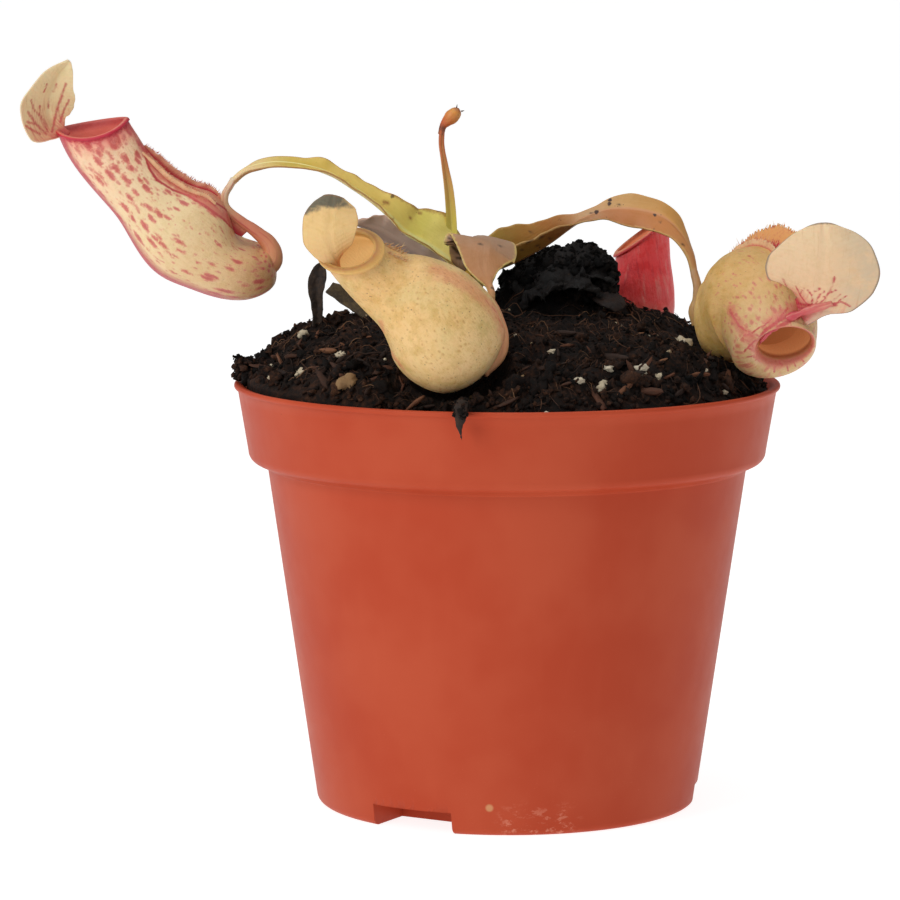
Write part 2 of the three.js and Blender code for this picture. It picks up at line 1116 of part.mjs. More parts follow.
const LID_REAR = {
  spine: [
    [36.8, 32.6, 126.6],
    [38, 33.4, 128.2],
    [37, 32.6, 130],
    [33.4, 31, 131],
    [28.6, 29.4, 131.4],
    [24.6, 28.4, 130.8],
  ],
  face: [
    [0, [0.8, 0.4, -0.2]],
    [0.3, [0.3, 0.2, 0.9]],
    [1, [-0.1, 0, 1]],
  ],
  left: [
    [0, 1.6],
    [0.25, 3],
    [0.55, 5.6],
    [0.8, 4.8],
    [1, 1.4],
  ],
  right: [
    [0, 1.6],
    [0.25, 3],
    [0.55, 5.6],
    [0.8, 4.8],
    [1, 1.4],
  ],
  foldLeft: -8,
  foldRight: -8,
  steps: 12,
};

// Withered leaves that lie on the compost

const WITHERED_BLACK = {
  spine: [
    [-0.6, 11.6, 115.6],
    [4, 11, 119.6],
    [10, 10.2, 122.4],
    [16.4, 9.8, 123.2],
    [21.6, 9.4, 121.4],
    [24.2, 9, 117.6],
  ],
  face: [
    [0, [-0.4, 0, 0.9]],
    [0.5, [0, 0, 1]],
    [1, [0.8, 0, 0.6]],
  ],
  left: [
    [0, 4],
    [0.3, 7],
    [0.75, 7],
    [1, 4],
  ],
  right: [
    [0, 4],
    [0.3, 7.6],
    [0.75, 7.6],
    [1, 4],
  ],
  foldLeft: [
    [0, -30],
    [0.55, -30],
    [1, -4],
  ],
  foldRight: [
    [0, -34],
    [0.55, -34],
    [1, -4],
  ],
  thickness: 1.2,
  wave: 0.7,
  waves: 4,
  steps: 16,
};

const WITHERED_OVAL = {
  spine: [
    [19.4, 4.4, 113.6],
    [21.6, 2.8, 113],
    [24, 2, 112],
    [26, 2, 110.4],
  ],
  face: [
    [0, [0, -0.6, 0.8]],
    [1, [0.3, -0.6, 0.8]],
  ],
  left: [
    [0, 1.6],
    [0.5, 3],
    [0.85, 2.6],
    [1, 1.2],
  ],
  right: [
    [0, 1.6],
    [0.5, 3],
    [0.85, 2.6],
    [1, 1.2],
  ],
  foldLeft: -12,
  foldRight: -12,
  thickness: 1,
  steps: 9,
};

const WITHERED_UPRIGHT = {
  spine: [
    [-42.3, -3, 106.6],
    [-42.2, -3.2, 111],
    [-42.2, -3.4, 115],
    [-41.6, -3.4, 118.6],
    [-41, -3.2, 120.9],
  ],
  face: [
    [0, [0.3, -1, 0]],
    [1, [-0.3, -1, 0]],
  ],
  left: [
    [0, 1.1],
    [0.4, 1.5],
    [0.7, 2.2],
    [0.88, 1.7],
    [1, 0.5],
  ],
  right: [
    [0, 1.1],
    [0.4, 1.5],
    [0.7, 2.2],
    [0.88, 1.7],
    [1, 0.5],
  ],
  foldLeft: 30,
  foldRight: 24,
  thickness: 1,
  steps: 10,
};

const WITHERED_OLIVE = {
  spine: [
    [-39.6, 3, 114.6],
    [-36.4, 1.8, 113],
    [-33.4, 0.4, 111.2],
    [-30.4, -1, 109],
  ],
  face: [
    [0, [0.3, -0.9, 0.4]],
    [1, [0.3, -0.8, 0.5]],
  ],
  left: [
    [0, 1.4],
    [0.5, 2.4],
    [1, 2],
  ],
  right: [
    [0, 1.4],
    [0.5, 2.4],
    [1, 2],
  ],
  foldLeft: 14,
  foldRight: 14,
  thickness: 1,
  steps: 8,
};

// The pot

function potOutline() {
  const bandFoot = POT_HEIGHT - BAND_DEPTH;
  const shoulder = bandFoot - SHOULDER_DROP;
  const round = (cx, cy, r, from, to, n) =>
    Array.from({ length: n + 1 }, (_, i) => {
      const a = THREE.MathUtils.degToRad(from + ((to - from) * i) / n);
      return [cx + r * Math.cos(a), cy + r * Math.sin(a)];
    });
  return [
    [0, 0],
    ...round(FOOT_RADIUS - FOOT_ROUND, FOOT_ROUND, FOOT_ROUND, -90, -8, 3),
    [SHOULDER_RADIUS, shoulder],
    ...round(BAND_FOOT_RADIUS - 1.4, bandFoot + 0.6, 1.4, -80, 0, 3),
    [BAND_TOP_RADIUS, POT_HEIGHT - LIP_HEIGHT],
    [LIP_RADIUS, POT_HEIGHT - LIP_HEIGHT + 0.2],
    [LIP_RADIUS, POT_HEIGHT - 0.4],
    [LIP_RADIUS - 0.5, POT_HEIGHT],
  ];
}

function potInside(gap) {
  const bandFoot = POT_HEIGHT - BAND_DEPTH;
  return [
    [BAND_TOP_RADIUS - WALL - gap, POT_HEIGHT - 0.4],
    [BAND_FOOT_RADIUS - WALL - gap, bandFoot + 1.2 + gap],
    [SHOULDER_RADIUS - WALL - gap, bandFoot - 0.4 + gap],
    [FOOT_RADIUS - WALL + 0.6 - gap, POT_FLOOR + 3],
    [FOOT_RADIUS - WALL - 1.2 - gap, POT_FLOOR + gap],
  ];
}

function turned(points, sides) {
  const outline = points.map(([r, z]) => new THREE.Vector2(r, z));
  return solidOf(new THREE.LatheGeometry(outline, sides).rotateX(Math.PI / 2));
}

const notchDegrees = Array.from(
  { length: NOTCHES },
  (_, i) => NOTCH_FIRST_DEG + (360 / NOTCHES) * i,
);

// A block that reaches in from the pot's foot, for one notch.
function notchBlock(degrees, more) {
  const outer = FOOT_RADIUS + 6;
  const depth = NOTCH_DEPTH + 6 + more;
  const height = NOTCH_HEIGHT + more + 2;
  const block = new THREE.BoxGeometry(depth, NOTCH_WIDTH + 2 * more, height);
  block.translate(outer - depth / 2, 0, height / 2 - 2);
  block.rotateZ(THREE.MathUtils.degToRad(degrees));
  return solidOf(block);
}

function drain(degrees) {
  const hole = new THREE.CylinderGeometry(DRAIN_RADIUS, DRAIN_RADIUS, 6, 14);
  hole.rotateX(Math.PI / 2);
  hole.translate(FOOT_RADIUS - NOTCH_DEPTH / 2 - 1.5, 0, NOTCH_HEIGHT + 1);
  hole.rotateZ(THREE.MathUtils.degToRad(degrees));
  return solidOf(hole);
}

function potSolid() {
  const hull = turned([...potOutline(), [0, POT_HEIGHT]], POT_SIDES);
  let pot = turned([...potOutline(), ...potInside(0), [0, POT_FLOOR]], POT_SIDES);
  notchDegrees.forEach((degrees) => {
    pot = pot.add(notchBlock(degrees, WALL).intersect(hull));
  });
  notchDegrees.forEach((degrees) => {
    pot = pot.subtract(notchBlock(degrees, 0)).subtract(drain(degrees));
  });
  return largest(pot);
}

// The compost

// Balls along the pitchers that lie on the compost and press a hollow into it.
const PRESSED = [PITCHER_FRONT, PITCHER_RIGHT, PITCHER_REAR].flatMap((cup) => {
  const curve = curveOf(cup.spine);
  return Array.from({ length: 14 }, (_, i) => {
    const s = 0.02 + (0.8 * i) / 13;
    return [curve.getPointAt(s), Math.max(along(cup.deep, s), along(cup.wide, s)) + 2 * GAP];
  });
});

// Heaps: place, height, spread.
const HEAPS = [
  [3, 11, 6.5, 7],
  [12, 11.5, 9, 8],
  [20, 10.6, 7.5, 6],
  [-12, -47, -3, 13],
  [-38, 4, 1.6, 9],
  [34, 14, 2, 10],
  [-12, 26, 2.4, 14],
  [0, -22, 1.2, 10],
];

function soilHeight(x, y) {
  const r = Math.hypot(x, y);
  const edge = BAND_TOP_RADIUS - WALL - GAP;
  const leftHeap = 2.4 * Math.max(0, -x / edge) ** 2;
  let z = SOIL_EDGE + leftHeap + SOIL_RISE * (1 - Math.exp(-(edge - r) / SOIL_FALL_LENGTH));
  HEAPS.forEach(([hx, hy, height, spread]) => {
    z += height * Math.exp(-(((x - hx) ** 2 + (y - hy) ** 2) / spread ** 2));
  });
  const inner = clamp01((edge - r) / 5);
  z += inner * 0.7 * Math.sin(0.52 * x + 1.3) * Math.sin(0.6 * y + 0.4);
  z += inner * 0.5 * Math.sin(0.95 * x - 0.7 * y + 2);
  PRESSED.forEach(([ball, radius]) => {
    const d2 = (x - ball.x) ** 2 + (y - ball.y) ** 2;
    if (d2 < radius ** 2) z = Math.min(z, ball.z - Math.sqrt(radius ** 2 - d2) - GAP);
  });
  return z;
}

// Bark chips, pebbles and perlite that lie in the compost: place, then half sizes.
const CHIPS = [
  [-33.6, -41, 2.4, 2.1, 1.8],
  [-44, -9, 1.3, 1.3, 1.3],
  [-36, -32, 1.1, 1.1, 1],
  [-44.6, -28, 1.2, 1.2, 1],
  [38, -15.2, 1.8, 1.6, 1.6],
  [28.2, -41.6, 1.6, 1.4, 1.3],
  [31.6, -40.4, 1.4, 1.2, 1.2],
  [19.8, -48.4, 1.5, 1.5, 1.4],
  [20.4, -44, 1.6, 0.9, 0.8],
  [29.2, -44.6, 3, 1.4, 1.1],
  [22.4, -39, 3.2, 1, 0.8],
  [-39.6, -31.6, 1.1, 2.8, 0.9],
  [-39, -26, 1.8, 0.9, 0.7],
  [42, -28.4, 1.2, 1.1, 1],
  [-20, 34, 2.4, 1.4, 1.2],
  [6, 42, 1.8, 1.8, 1.4],
  [-38, 24, 2.8, 1.2, 1.1],
];

function chipSolid([x, y, a, b, c], i) {
  const chip = new THREE.IcosahedronGeometry(1, 0);
  chip.scale(a, b, c);
  chip.rotateZ(0.7 * i);
  chip.translate(x, y, soilHeight(x, y) + 0.25 * c);
  return solidOf(chip);
}

function soilSolid() {
  const ring = (r, height) =>
    Array.from({ length: SOIL_SIDES }, (_, j) => {
      const a = (2 * Math.PI * j) / SOIL_SIDES;
      const x = r * Math.cos(a);
      const y = r * Math.sin(a);
      return new THREE.Vector3(x, y, height ?? soilHeight(x, y));
    });
  const inside = potInside(GAP).reverse();
  const rings = [ring(2, POT_FLOOR + GAP)];
  inside.slice(0, -1).forEach(([r, z]) => rings.push(ring(r, z)));
  const edge = BAND_TOP_RADIUS - WALL - GAP;
  rings.push(ring(edge - 0.6, SOIL_EDGE - 1.6));
  for (let i = 0; i <= SOIL_RINGS; i++) {
    const r = (edge - 0.9) * (1 - i / SOIL_RINGS) ** 0.9;
    rings.push(ring(Math.max(r, 1)));
  }
  let soil = loft(rings);
  notchDegrees.forEach((degrees) => {
    soil = soil.subtract(notchBlock(degrees, WALL + GAP));
  });
  CHIPS.forEach((chip, i) => {
    soil = soil.add(chipSolid(chip, i));
  });
  return soil;
}

// The assembly

const STEM = {
  spine: [STEM_FOOT, [-9.2, 1.4, 101], [-9.8, 1, 110], STEM_TOP],
  radius: [
    [0, 1.6],
    [0.4, STEM_RADIUS],
    [0.9, STEM_RADIUS],
    [1, 1.2],
  ],
  steps: 8,
  sides: 12,
};

const PEAT_STRAND = {
  spine: [
    [-9.4, -56.6, 95.6],
    [-10, -59.4, 95.9],
    [-10.4, -61.6, 95],
    [-10.6, -62.3, 92],
    [-10.2, -61.9, 88.6],
  ],
  radius: [
    [0, 0.7],
    [0.5, 0.9],
    [1, 0.5],
  ],
  steps: 8,
  sides: 6,
};

const stemRoom = rod({ ...STEM, grow: GAP });
const leftRoom = blade({ ...LEAF_LEFT, grow: GAP });
const frontRoom = blade({ ...LEAF_FRONT, grow: GAP });

const leaf = (shape, ...rooms) =>
  largest(rooms.reduce((left, room) => left.subtract(room), blade(shape).subtract(stemRoom)));

const withered = [WITHERED_BLACK, WITHERED_OVAL, WITHERED_UPRIGHT, WITHERED_OLIVE];

const soilAround = () =>
  withered
    .map((shape) => blade({ ...shape, grow: GAP }))
    .concat(stemRoom, rod({ ...PEAT_STRAND, grow: GAP }))
    .reduce((left, room) => left.subtract(room), soilSolid());

const made = {
  pot: [potSolid(), "pot"],
  soil: [largest(soilAround()), "soil"],
  stem: [rod(STEM), "stem"],
  leaf_left: [leaf(LEAF_LEFT), "leaf"],
  leaf_young: [leaf(LEAF_YOUNG, leftRoom, frontRoom), "leaf"],
  bud: [rod(BUD), "leafOld"],
  leaf_front: [leaf(LEAF_FRONT, leftRoom), "leafMauve"],
  leaf_right: [leaf(LEAF_RIGHT, leftRoom, frontRoom), "leafOld"],
  leaf_behind: [leaf(LEAF_BEHIND, leftRoom), "leafMauve"],
  leaf_rear: [leaf(LEAF_REAR), "leaf"],
  leaf_basal: [leaf(LEAF_BASAL), "leaf"],
  pitcher_left: [pitcherSolid(PITCHER_LEFT), "speckled"],
  pitcher_front: [pitcherSolid(PITCHER_FRONT), "cream"],
  pitcher_right: [pitcherSolid(PITCHER_RIGHT), "cream"],
  pitcher_rear: [pitcherSolid(PITCHER_REAR), "red"],
  lid_left: [lidSolid(LID_LEFT, PITCHER_LEFT), "lid"],
  lid_front: [lidSolid(LID_FRONT, PITCHER_FRONT), "lid"],
  lid_right: [lidSolid(LID_RIGHT, PITCHER_RIGHT), "lid"],
  lid_rear: [lidSolid(LID_REAR, PITCHER_REAR), "red"],
  withered_black: [blade(WITHERED_BLACK), "withered"],
  withered_oval: [blade(WITHERED_OVAL), "withered"],
  withered_upright: [blade(WITHERED_UPRIGHT), "withered"],
  withered_olive: [blade(WITHERED_OLIVE), "witheredOlive"],
  peat_strand: [rod(PEAT_STRAND), "withered"],
};

const plant = new THREE.Group();
Object.entries(made).forEach(([name, [shape, paint]]) => {
  const { vertProperties, triVerts } = shape.getMesh();
  const geometry = new THREE.BufferGeometry();
  geometry.setAttribute("position", new THREE.BufferAttribute(vertProperties, 3));
  geometry.setIndex(new THREE.BufferAttribute(triVerts, 1));
  geometry.computeVertexNormals();
  const [color, roughness] = PAINT[paint];
  const material = new THREE.MeshStandardMaterial({ color, roughness, metalness: 0 });
  const mesh = new THREE.Mesh(geometry, material);
  mesh.name = name;
  plant.add(mesh);
});

export default plant;
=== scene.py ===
"""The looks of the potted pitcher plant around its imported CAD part.

Shapes are worked out in millimetres and turned into metres when a mesh is made. Blades and cups
follow the CAD solids' curves and widths closely, with finer rings, margins, veins and teeth.
"""
import math

import bmesh
import bpy
import numpy as np
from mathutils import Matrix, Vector
from mathutils.bvhtree import BVHTree


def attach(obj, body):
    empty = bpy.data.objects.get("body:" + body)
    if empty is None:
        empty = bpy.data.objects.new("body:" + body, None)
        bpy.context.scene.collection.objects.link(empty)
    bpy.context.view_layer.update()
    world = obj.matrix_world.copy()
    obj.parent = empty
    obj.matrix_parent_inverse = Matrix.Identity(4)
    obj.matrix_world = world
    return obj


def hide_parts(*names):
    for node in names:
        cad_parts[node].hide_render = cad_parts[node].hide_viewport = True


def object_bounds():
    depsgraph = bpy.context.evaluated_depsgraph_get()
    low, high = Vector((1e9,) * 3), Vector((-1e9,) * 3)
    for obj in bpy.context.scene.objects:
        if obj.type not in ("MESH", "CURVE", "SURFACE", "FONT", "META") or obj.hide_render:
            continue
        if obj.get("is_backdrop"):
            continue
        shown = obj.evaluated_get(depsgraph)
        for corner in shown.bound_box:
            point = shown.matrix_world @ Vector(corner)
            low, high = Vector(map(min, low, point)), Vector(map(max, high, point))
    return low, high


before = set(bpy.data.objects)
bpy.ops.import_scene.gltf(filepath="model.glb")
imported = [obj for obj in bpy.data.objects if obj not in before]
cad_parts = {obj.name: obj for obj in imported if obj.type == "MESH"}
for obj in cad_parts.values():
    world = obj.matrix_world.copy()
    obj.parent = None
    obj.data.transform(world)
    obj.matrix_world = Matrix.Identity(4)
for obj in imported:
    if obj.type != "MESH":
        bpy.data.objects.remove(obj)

MM = 0.001
TURN = 2 * math.pi
cad_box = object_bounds()

# The pot's dimensions
POT_HEIGHT = 94.2
LIP_RADIUS = 60.6
LIP_HEIGHT = 1.4
LIP_ROUND = 0.62
BAND_TOP_RADIUS = 59.8
BAND_FOOT_RADIUS = 57.5
BAND_FOOT_ROUND = 2.4
BAND_DEPTH = 17.4
SHOULDER_RADIUS = 53.2
SHOULDER_DROP = 1.8
SHOULDER_ROUND = 0.5
FOOT_RADIUS = 42.5
FOOT_ROUND = 1.8
WALL = 1.2
POT_FLOOR = 1.5
NOTCH_DEGREES = (-120, 0, 120)
NOTCH_WIDTH = 19.5
NOTCH_HEIGHT = 4.9
NOTCH_DEPTH = 13
DRAIN_RADIUS = 3
DRAIN_INSET = 1.5
CUTTER_REACH = 6
GAP = 0.3
AXIS_RADIUS = 0.05
POT_SIDES = 240
DRAIN_SIDES = 32

# The compost's dimensions
SOIL_RADIUS = BAND_TOP_RADIUS - WALL - GAP
SOIL_EDGE = 92.4
SOIL_RISE = 16
SOIL_LEFT_RISE = 2.4
SOIL_FALL_LENGTH = 12
SOIL_SIDES = 300
SOIL_RINGS = 150
SCATTER_RADIUS = 57.6
GRAIN_RADIUS = 58.2

# The plant's thicknesses and the counts of its meshes
BLADE_THICKNESS = 0.8
CUP_WALL = 0.8
WING_THICKNESS = 0.5
WING_LEVELS = 9
WING_STEPS_PER_TOOTH = 5
CUP_SIDES = 132
BULB_RINGS = 26
WALL_RINGS = 96
LIP_RINGS = 20
WELL_RINGS = 24
HAIR_ROWS = 6
HAIR_SIDES = 4
ROD_FACE = (0.2, -1, 0.3)

# The floor, the sky's level as a light and as the camera sees it, and the lamps in metres and watts:
# name, place, target, size and power
FLOOR_SIZE = 60
FLOOR_GLOW = 0.87
FLOOR_GREY = 160
SKY_LIGHT = 0.33
SKY_SEEN = 1.2
LAMPS = [
    ("key", (-0.82, -0.7, 0.72), (0, 0, 0.08), (0.6, 0.7), 7),
    ("top", (0, -0.1, 1.1), (0, 0, 0.1), (0.8, 0.8), 3.6),
]


def even(half, fold=0):
    """The same half width and the same fold in degrees on both sides of a blade."""
    return dict(left=half, right=half, fold_left=fold, fold_right=fold)


# The plant's curves, widths and folds, in millimetres and degrees
PITCHER_LEFT = dict(
    spine=[(-51.6, -4, 122.1), (-55.2, -4, 120.9), (-61.2, -4, 121.6), (-67.6, -4, 125.1),
           (-74.3, -4, 129.7), (-80, -4, 135.6), (-85.7, -4, 141.8), (-89.2, -4, 147), (-91.2, -4, 151)],
    front=[[0, (0.75, -0.15, 0.65)], [1, (0.85, -0.15, 0.5)]],
    deep=[(0, 1.5), (0.05, 6.4), (0.16, 8.8), (0.26, 9.7), (0.4, 11), (0.54, 8.8), (0.66, 7.3), (0.8, 7.4),
          (0.92, 7.9), (1, 7.6)],
    wide=[(0, 1.5), (0.05, 6), (0.16, 8.4), (0.42, 9.6), (0.52, 8.8), (0.66, 7.4), (0.8, 6.8), (1, 5.9)],
    end=0.16, lean=0.3, lip=0.4, lip_tall=0.6, well_foot=0.12, dip=2.6,
    waist=[(0, 0.35), (0.05, 0.52), (0.16, 0.56), (0.24, 0.3), (0.32, 0), (1, 0)],
    wings=[dict(angle=172, start=0.36, end=0.84, height=2.2, teeth=13, finer=4),
           dict(angle=200, start=0.36, end=0.82, height=1.6, teeth=13, finer=3)],
    tendril=dict(
        spine=[(-60.9, -5, 138.1), (-62.2, -5, 135.8), (-62, -5, 133.2), (-58.8, -5, 130.2),
               (-55.2, -4.8, 127.6), (-52.4, -4.6, 124.8), (-51.8, -4.4, 121.6), (-54.6, -4, 119)],
        radius=[(0, 0.8), (0.2, 0.85), (0.45, 1.15), (0.62, 1.5), (0.8, 2.1), (1, 2.8)],
    ),
)
PITCHER_FRONT = dict(
    spine=[(-5.9, -45, 100.7), (-7.6, -45.4, 102.5), (-9.9, -46, 105.2), (-12.9, -46.4, 108.6),
           (-16.4, -46.8, 113.4), (-21.1, -47.4, 117.4), (-25.8, -48.4, 120.3), (-29.9, -50, 123.6),
           (-33.5, -52.4, 127.2)],
    front=[[0, (0.4, -0.7, 0.5)], [1, (0.4, -0.75, 0.5)]],
    deep=[(0, 1.5), (0.06, 5.8), (0.155, 10), (0.29, 12.5), (0.45, 11.5), (0.6, 9.2), (0.74, 7.3),
          (0.88, 6.5), (1, 5.5)],
    wide=[(0, 1.5), (0.06, 6.2), (0.155, 10.3), (0.29, 12.5), (0.45, 11.5), (0.6, 9.4), (0.74, 7.3),
          (0.88, 6.5), (1, 5.4)],
    end=0.2, lean=0.55, lip=0.8, lip_drop=0.3, well_foot=0.1,
    wings=[dict(angle=158, start=0.8, end=0.95, height=0.7, teeth=4),
           dict(angle=134, start=0.78, end=0.95, height=0.8, teeth=4)],
    tendril=dict(
        spine=[(-3.6, -30, 114.4), (-3, -33.4, 113.6), (-2.2, -37.2, 111.8), (-1.4, -40.6, 108.4),
               (-2.2, -43.2, 104.6), (-6, -45.4, 101.4)],
        radius=[(0, 0.8), (0.4, 1), (1, 1.8)],
    ),
)
PITCHER_RIGHT = dict(
    spine=[(42, -3, 108.2), (44.6, -4, 108.4), (49, -7.4, 109.3), (53.8, -12.6, 112.2),
           (57.1, -18.4, 112.3), (58.8, -23, 109.2), (59.5, -26.6, 105.9)],
    front=[[0, (-0.4, 0.2, -0.85)], [1, (-0.5, 0.1, -0.85)]],
    deep=[(0, 1.5), (0.06, 7), (0.24, 10.4), (0.48, 13.2), (0.68, 10.6), (0.86, 7.8), (1, 6.4)],
    wide=[(0, 1.5), (0.06, 6), (0.24, 9.8), (0.48, 12.2), (0.68, 10.4), (0.86, 7.8), (1, 6.4)],
    end=0.2, lean=0.1, lip=0.2, jaw=6.2, well_foot=0.14,
    wings=[dict(angle=4, start=0.24, end=0.8, height=6.4, teeth=17, finer=3, cut=0.2),
           dict(angle=344, start=0.38, end=0.74, height=1.8, teeth=10, cut=0.2)],
    tendril=dict(
        spine=[(41.4, -2.7, 118), (42, -3.2, 115.4), (42, -3.4, 112.4), (41.4, -3.2, 110),
               (42.4, -3.2, 107.4)],
        radius=[(0, 0.8), (0.6, 1.2), (1, 1.7)],
    ),
)
PITCHER_REAR = dict(
    spine=[(29.8, 26.6, 102), (30, 27.2, 104.4), (30.6, 28, 108.6), (30.9, 28, 114), (31, 28, 119.6),
           (30.9, 28, 124)],
    front=[[0, (-0.8, -0.6, 0)], [0.5, (-0.9, -0.3, 0)], [1, (-1, -0.06, 0)]],
    deep=[(0, 1.5), (0.08, 5.6), (0.25, 8), (0.45, 7.8), (0.75, 6.5), (1, 6)],
    wide=[(0, 1.5), (0.08, 5.6), (0.25, 7.8), (0.45, 7.4), (0.75, 6.4), (1, 6)],
    end=0.25, lean=0.68, lip=0.5, lip_tall=0.7, well_foot=0.12,
    wings=[dict(angle=164, start=0.3, end=0.9, height=1.4, teeth=8),
           dict(angle=196, start=0.3, end=0.9, height=1.4, teeth=8)],
    tendril=dict(
        spine=[(14.9, 24.6, 112.2), (19, 27.4, 109.8), (23, 29.6, 106.6), (26.6, 29.4, 103.8),
               (29.4, 27.6, 103)],
        radius=[(0, 0.9), (0.6, 1.1), (1, 1.6)],
    ),
)
LEAF_LEFT = dict(
    spine=[(-10, 0, 117.4), (-12.4, -1, 120.4), (-14.9, -2, 122.6), (-18.4, -3, 124.9), (-22.6, -4, 127.5),
           (-26.2, -5, 131.3), (-30.2, -5.5, 134.8), (-34.6, -5.8, 137.9), (-39, -5.8, 140.5),
           (-43.4, -5.6, 142), (-47.8, -5.4, 142.8), (-51.8, -5.2, 142.9), (-55.3, -5, 142.1),
           (-58.2, -5, 140.7), (-60.4, -5, 138.8)],
    face=[[0, (0.5, -0.75, 0.6)], [0.3, (0.4, -0.75, 0.6)], [0.6, (0.2, -0.6, 0.85)],
          [0.76, (0, -0.75, 0.7)], [0.9, (-0.3, -0.7, 0.7)], [1, (-0.8, -0.4, 0.5)]],
    left=[(0, 2), (0.1, 3), (0.3, 2.4), (0.5, 1.9), (0.68, 1.5), (0.78, 1.8), (0.88, 1.5), (0.95, 0.8),
          (1, 0.8)],
    right=[(0, 3), (0.09, 7.8), (0.16, 9.4), (0.27, 7.4), (0.4, 4.5), (0.54, 2.9), (0.6, 2.4), (0.66, 3.1),
           (0.73, 1.8), (0.88, 1.5), (0.95, 0.8), (1, 0.8)],
    fold_left=[(0, 50), (0.5, 50), (0.8, 20), (1, 0)],
    fold_right=[(0, 6), (0.5, 16), (0.62, 20), (0.66, 36), (0.74, 12), (1, 0)],
    thickness=[(0, 1.1), (0.15, 0.8), (0.84, 0.8), (0.94, 1.6), (1, 1.6)],
    round=[(0, 0), (0.84, 0), (0.95, 1), (1, 1)],
    wave=[(0, 0), (0.1, 0.35), (0.5, 0.3), (0.85, 0), (1, 0)],
)
LEAF_YOUNG = dict(
    spine=[(-12, 1.8, 122), (-12.2, 2.4, 127), (-12.5, 2.4, 131.6), (-13.1, 2.2, 137), (-14, 1.9, 142.2),
           (-14.7, 1.5, 146.8), (-14.6, 1.2, 149.8)],
    face=[[0, (-0.2, -1, 0)], [1, (0.5, -1, 0)]],
    **even([(0, 1), (0.2, 1.5), (0.5, 1.3), (0.8, 0.8), (1, 0.75)], 38),
    thickness=[(0, 1), (0.6, 1.1), (0.85, 1.5), (1, 1.4)],
    round=[(0, 0.2), (0.6, 0.4), (0.85, 1), (1, 1)],
)
BUD = dict(
    spine=[(-14.65, 1.2, 148.8), (-14.2, 1.1, 150.6), (-13.4, 1, 151.6), (-11.8, 0.8, 153.2),
           (-10.7, 0.8, 154.6)],
    radius=[(0, 0.72), (0.24, 0.8), (0.4, 1.1), (0.66, 1.6), (0.86, 1.3), (0.96, 0.75), (1, 0.3)],
)
LEAF_FRONT = dict(
    spine=[(-10.6, -1.6, 119), (-10.2, -4.4, 123.6), (-7.8, -8, 126.6), (-5, -12, 126.8),
           (-5.2, -16, 125.2), (-5.6, -19.6, 121.8), (-4.8, -23, 118.8), (-3.8, -26, 116.6),
           (-3.8, -29.4, 115)],
    face=[[0, (0.2, 0.1, 1)], [0.3, (0, -0.4, 0.9)], [0.5, (0, -0.7, 0.7)], [0.75, (0, -0.8, 0.6)],
          [1, (0, -0.4, 0.9)]],
    left=[(0, 1.6), (0.16, 2), (0.3, 3.6), (0.42, 8), (0.5, 7.8), (0.64, 5.2), (0.77, 2.3), (0.86, 0.8),
          (1, 0.8)],
    right=[(0, 1.6), (0.16, 3), (0.38, 10), (0.5, 7.4), (0.64, 4.4), (0.77, 2.1), (0.86, 0.8), (1, 0.8)],
    fold_left=[(0, 0), (0.16, -16), (0.4, -34), (0.7, -16), (0.9, 0), (1, 0)],
    fold_right=[(0, 10), (0.4, 14), (0.7, -4), (0.9, 0), (1, 0)],
    thickness=[(0, 1), (0.2, 0.8), (0.74, 0.8), (0.86, 1.6), (1, 1.6)],
    round=[(0, 0), (0.74, 0), (0.86, 1), (1, 1)],
    wave=[(0, 0), (0.3, 0.5), (0.6, 0.3), (0.8, 0), (1, 0)],
)
LEAF_RIGHT = dict(
    spine=[(-9.4, 1, 116.8), (-5.2, 2.2, 118.2), (-1, 3, 119.6), (3.3, 4.4, 121.4), (8.5, 5.4, 124.2),
           (13.4, 5.8, 127.6), (17.6, 5.6, 130), (22.9, 5, 131.9), (28.6, 3.6, 132), (34.3, 1.8, 130.6),
           (38.1, 0, 127.2), (40.4, -1.6, 122.7), (41.3, -2.6, 118.4)],
    face=[[0, (-0.3, -0.2, 0.9)], [0.3, (-0.3, -0.2, 0.9)], [0.46, (-0.2, -0.5, 0.9)],
          [0.56, (0, -0.75, 0.65)], [0.72, (0.2, -0.8, 0.6)], [0.88, (0.7, -0.6, 0.3)],
          [1, (0.9, -0.5, 0.2)]],
    left=[(0, 2), (0.16, 8.4), (0.24, 7.6), (0.38, 4.4), (0.47, 2), (0.52, 2.1), (0.64, 4.8), (0.76, 4.4),
          (0.86, 2.6), (0.95, 1.2), (1, 0.8)],
    right=[(0, 2), (0.14, 5.4), (0.22, 5), (0.36, 3.2), (0.46, 1.9), (0.52, 2), (0.64, 4), (0.76, 4.2),
           (0.86, 2.4), (0.95, 1.2), (1, 0.8)],
    fold_left=[(0, 60), (0.2, 72), (0.38, 66), (0.5, 10), (0.62, -10), (0.88, -14), (1, 0)],
    fold_right=[(0, 54), (0.36, 60), (0.5, 10), (0.62, -22), (0.88, -18), (1, 0)],
    thickness=[(0, 1), (0.1, 0.8), (0.86, 0.8), (0.97, 1.6), (1, 1.6)],
    round=[(0, 0), (0.88, 0), (0.97, 1), (1, 1)],
    wave=[(0, 0), (0.2, 0.3), (0.5, 0.12), (0.8, 0.16), (0.95, 0), (1, 0)],
)
LEAF_BEHIND = dict(
    spine=[(-11.4, 1.6, 116.6), (-15.8, 4, 119.8), (-20.5, 6, 122.6), (-25.6, 7, 125.8), (-30, 7, 128),
           (-33.6, 6.4, 128.8)],
    face=[[0, (0.3, 0.5, 0.8)], [0.5, (0.1, 0.75, 0.65)], [1, (-0.3, 0.7, 0.6)]],
    **even([(0, 1.4), (0.2, 4.4), (0.6, 4.6), (0.85, 3), (1, 0.7)], 12),
    wave=0.4,
)
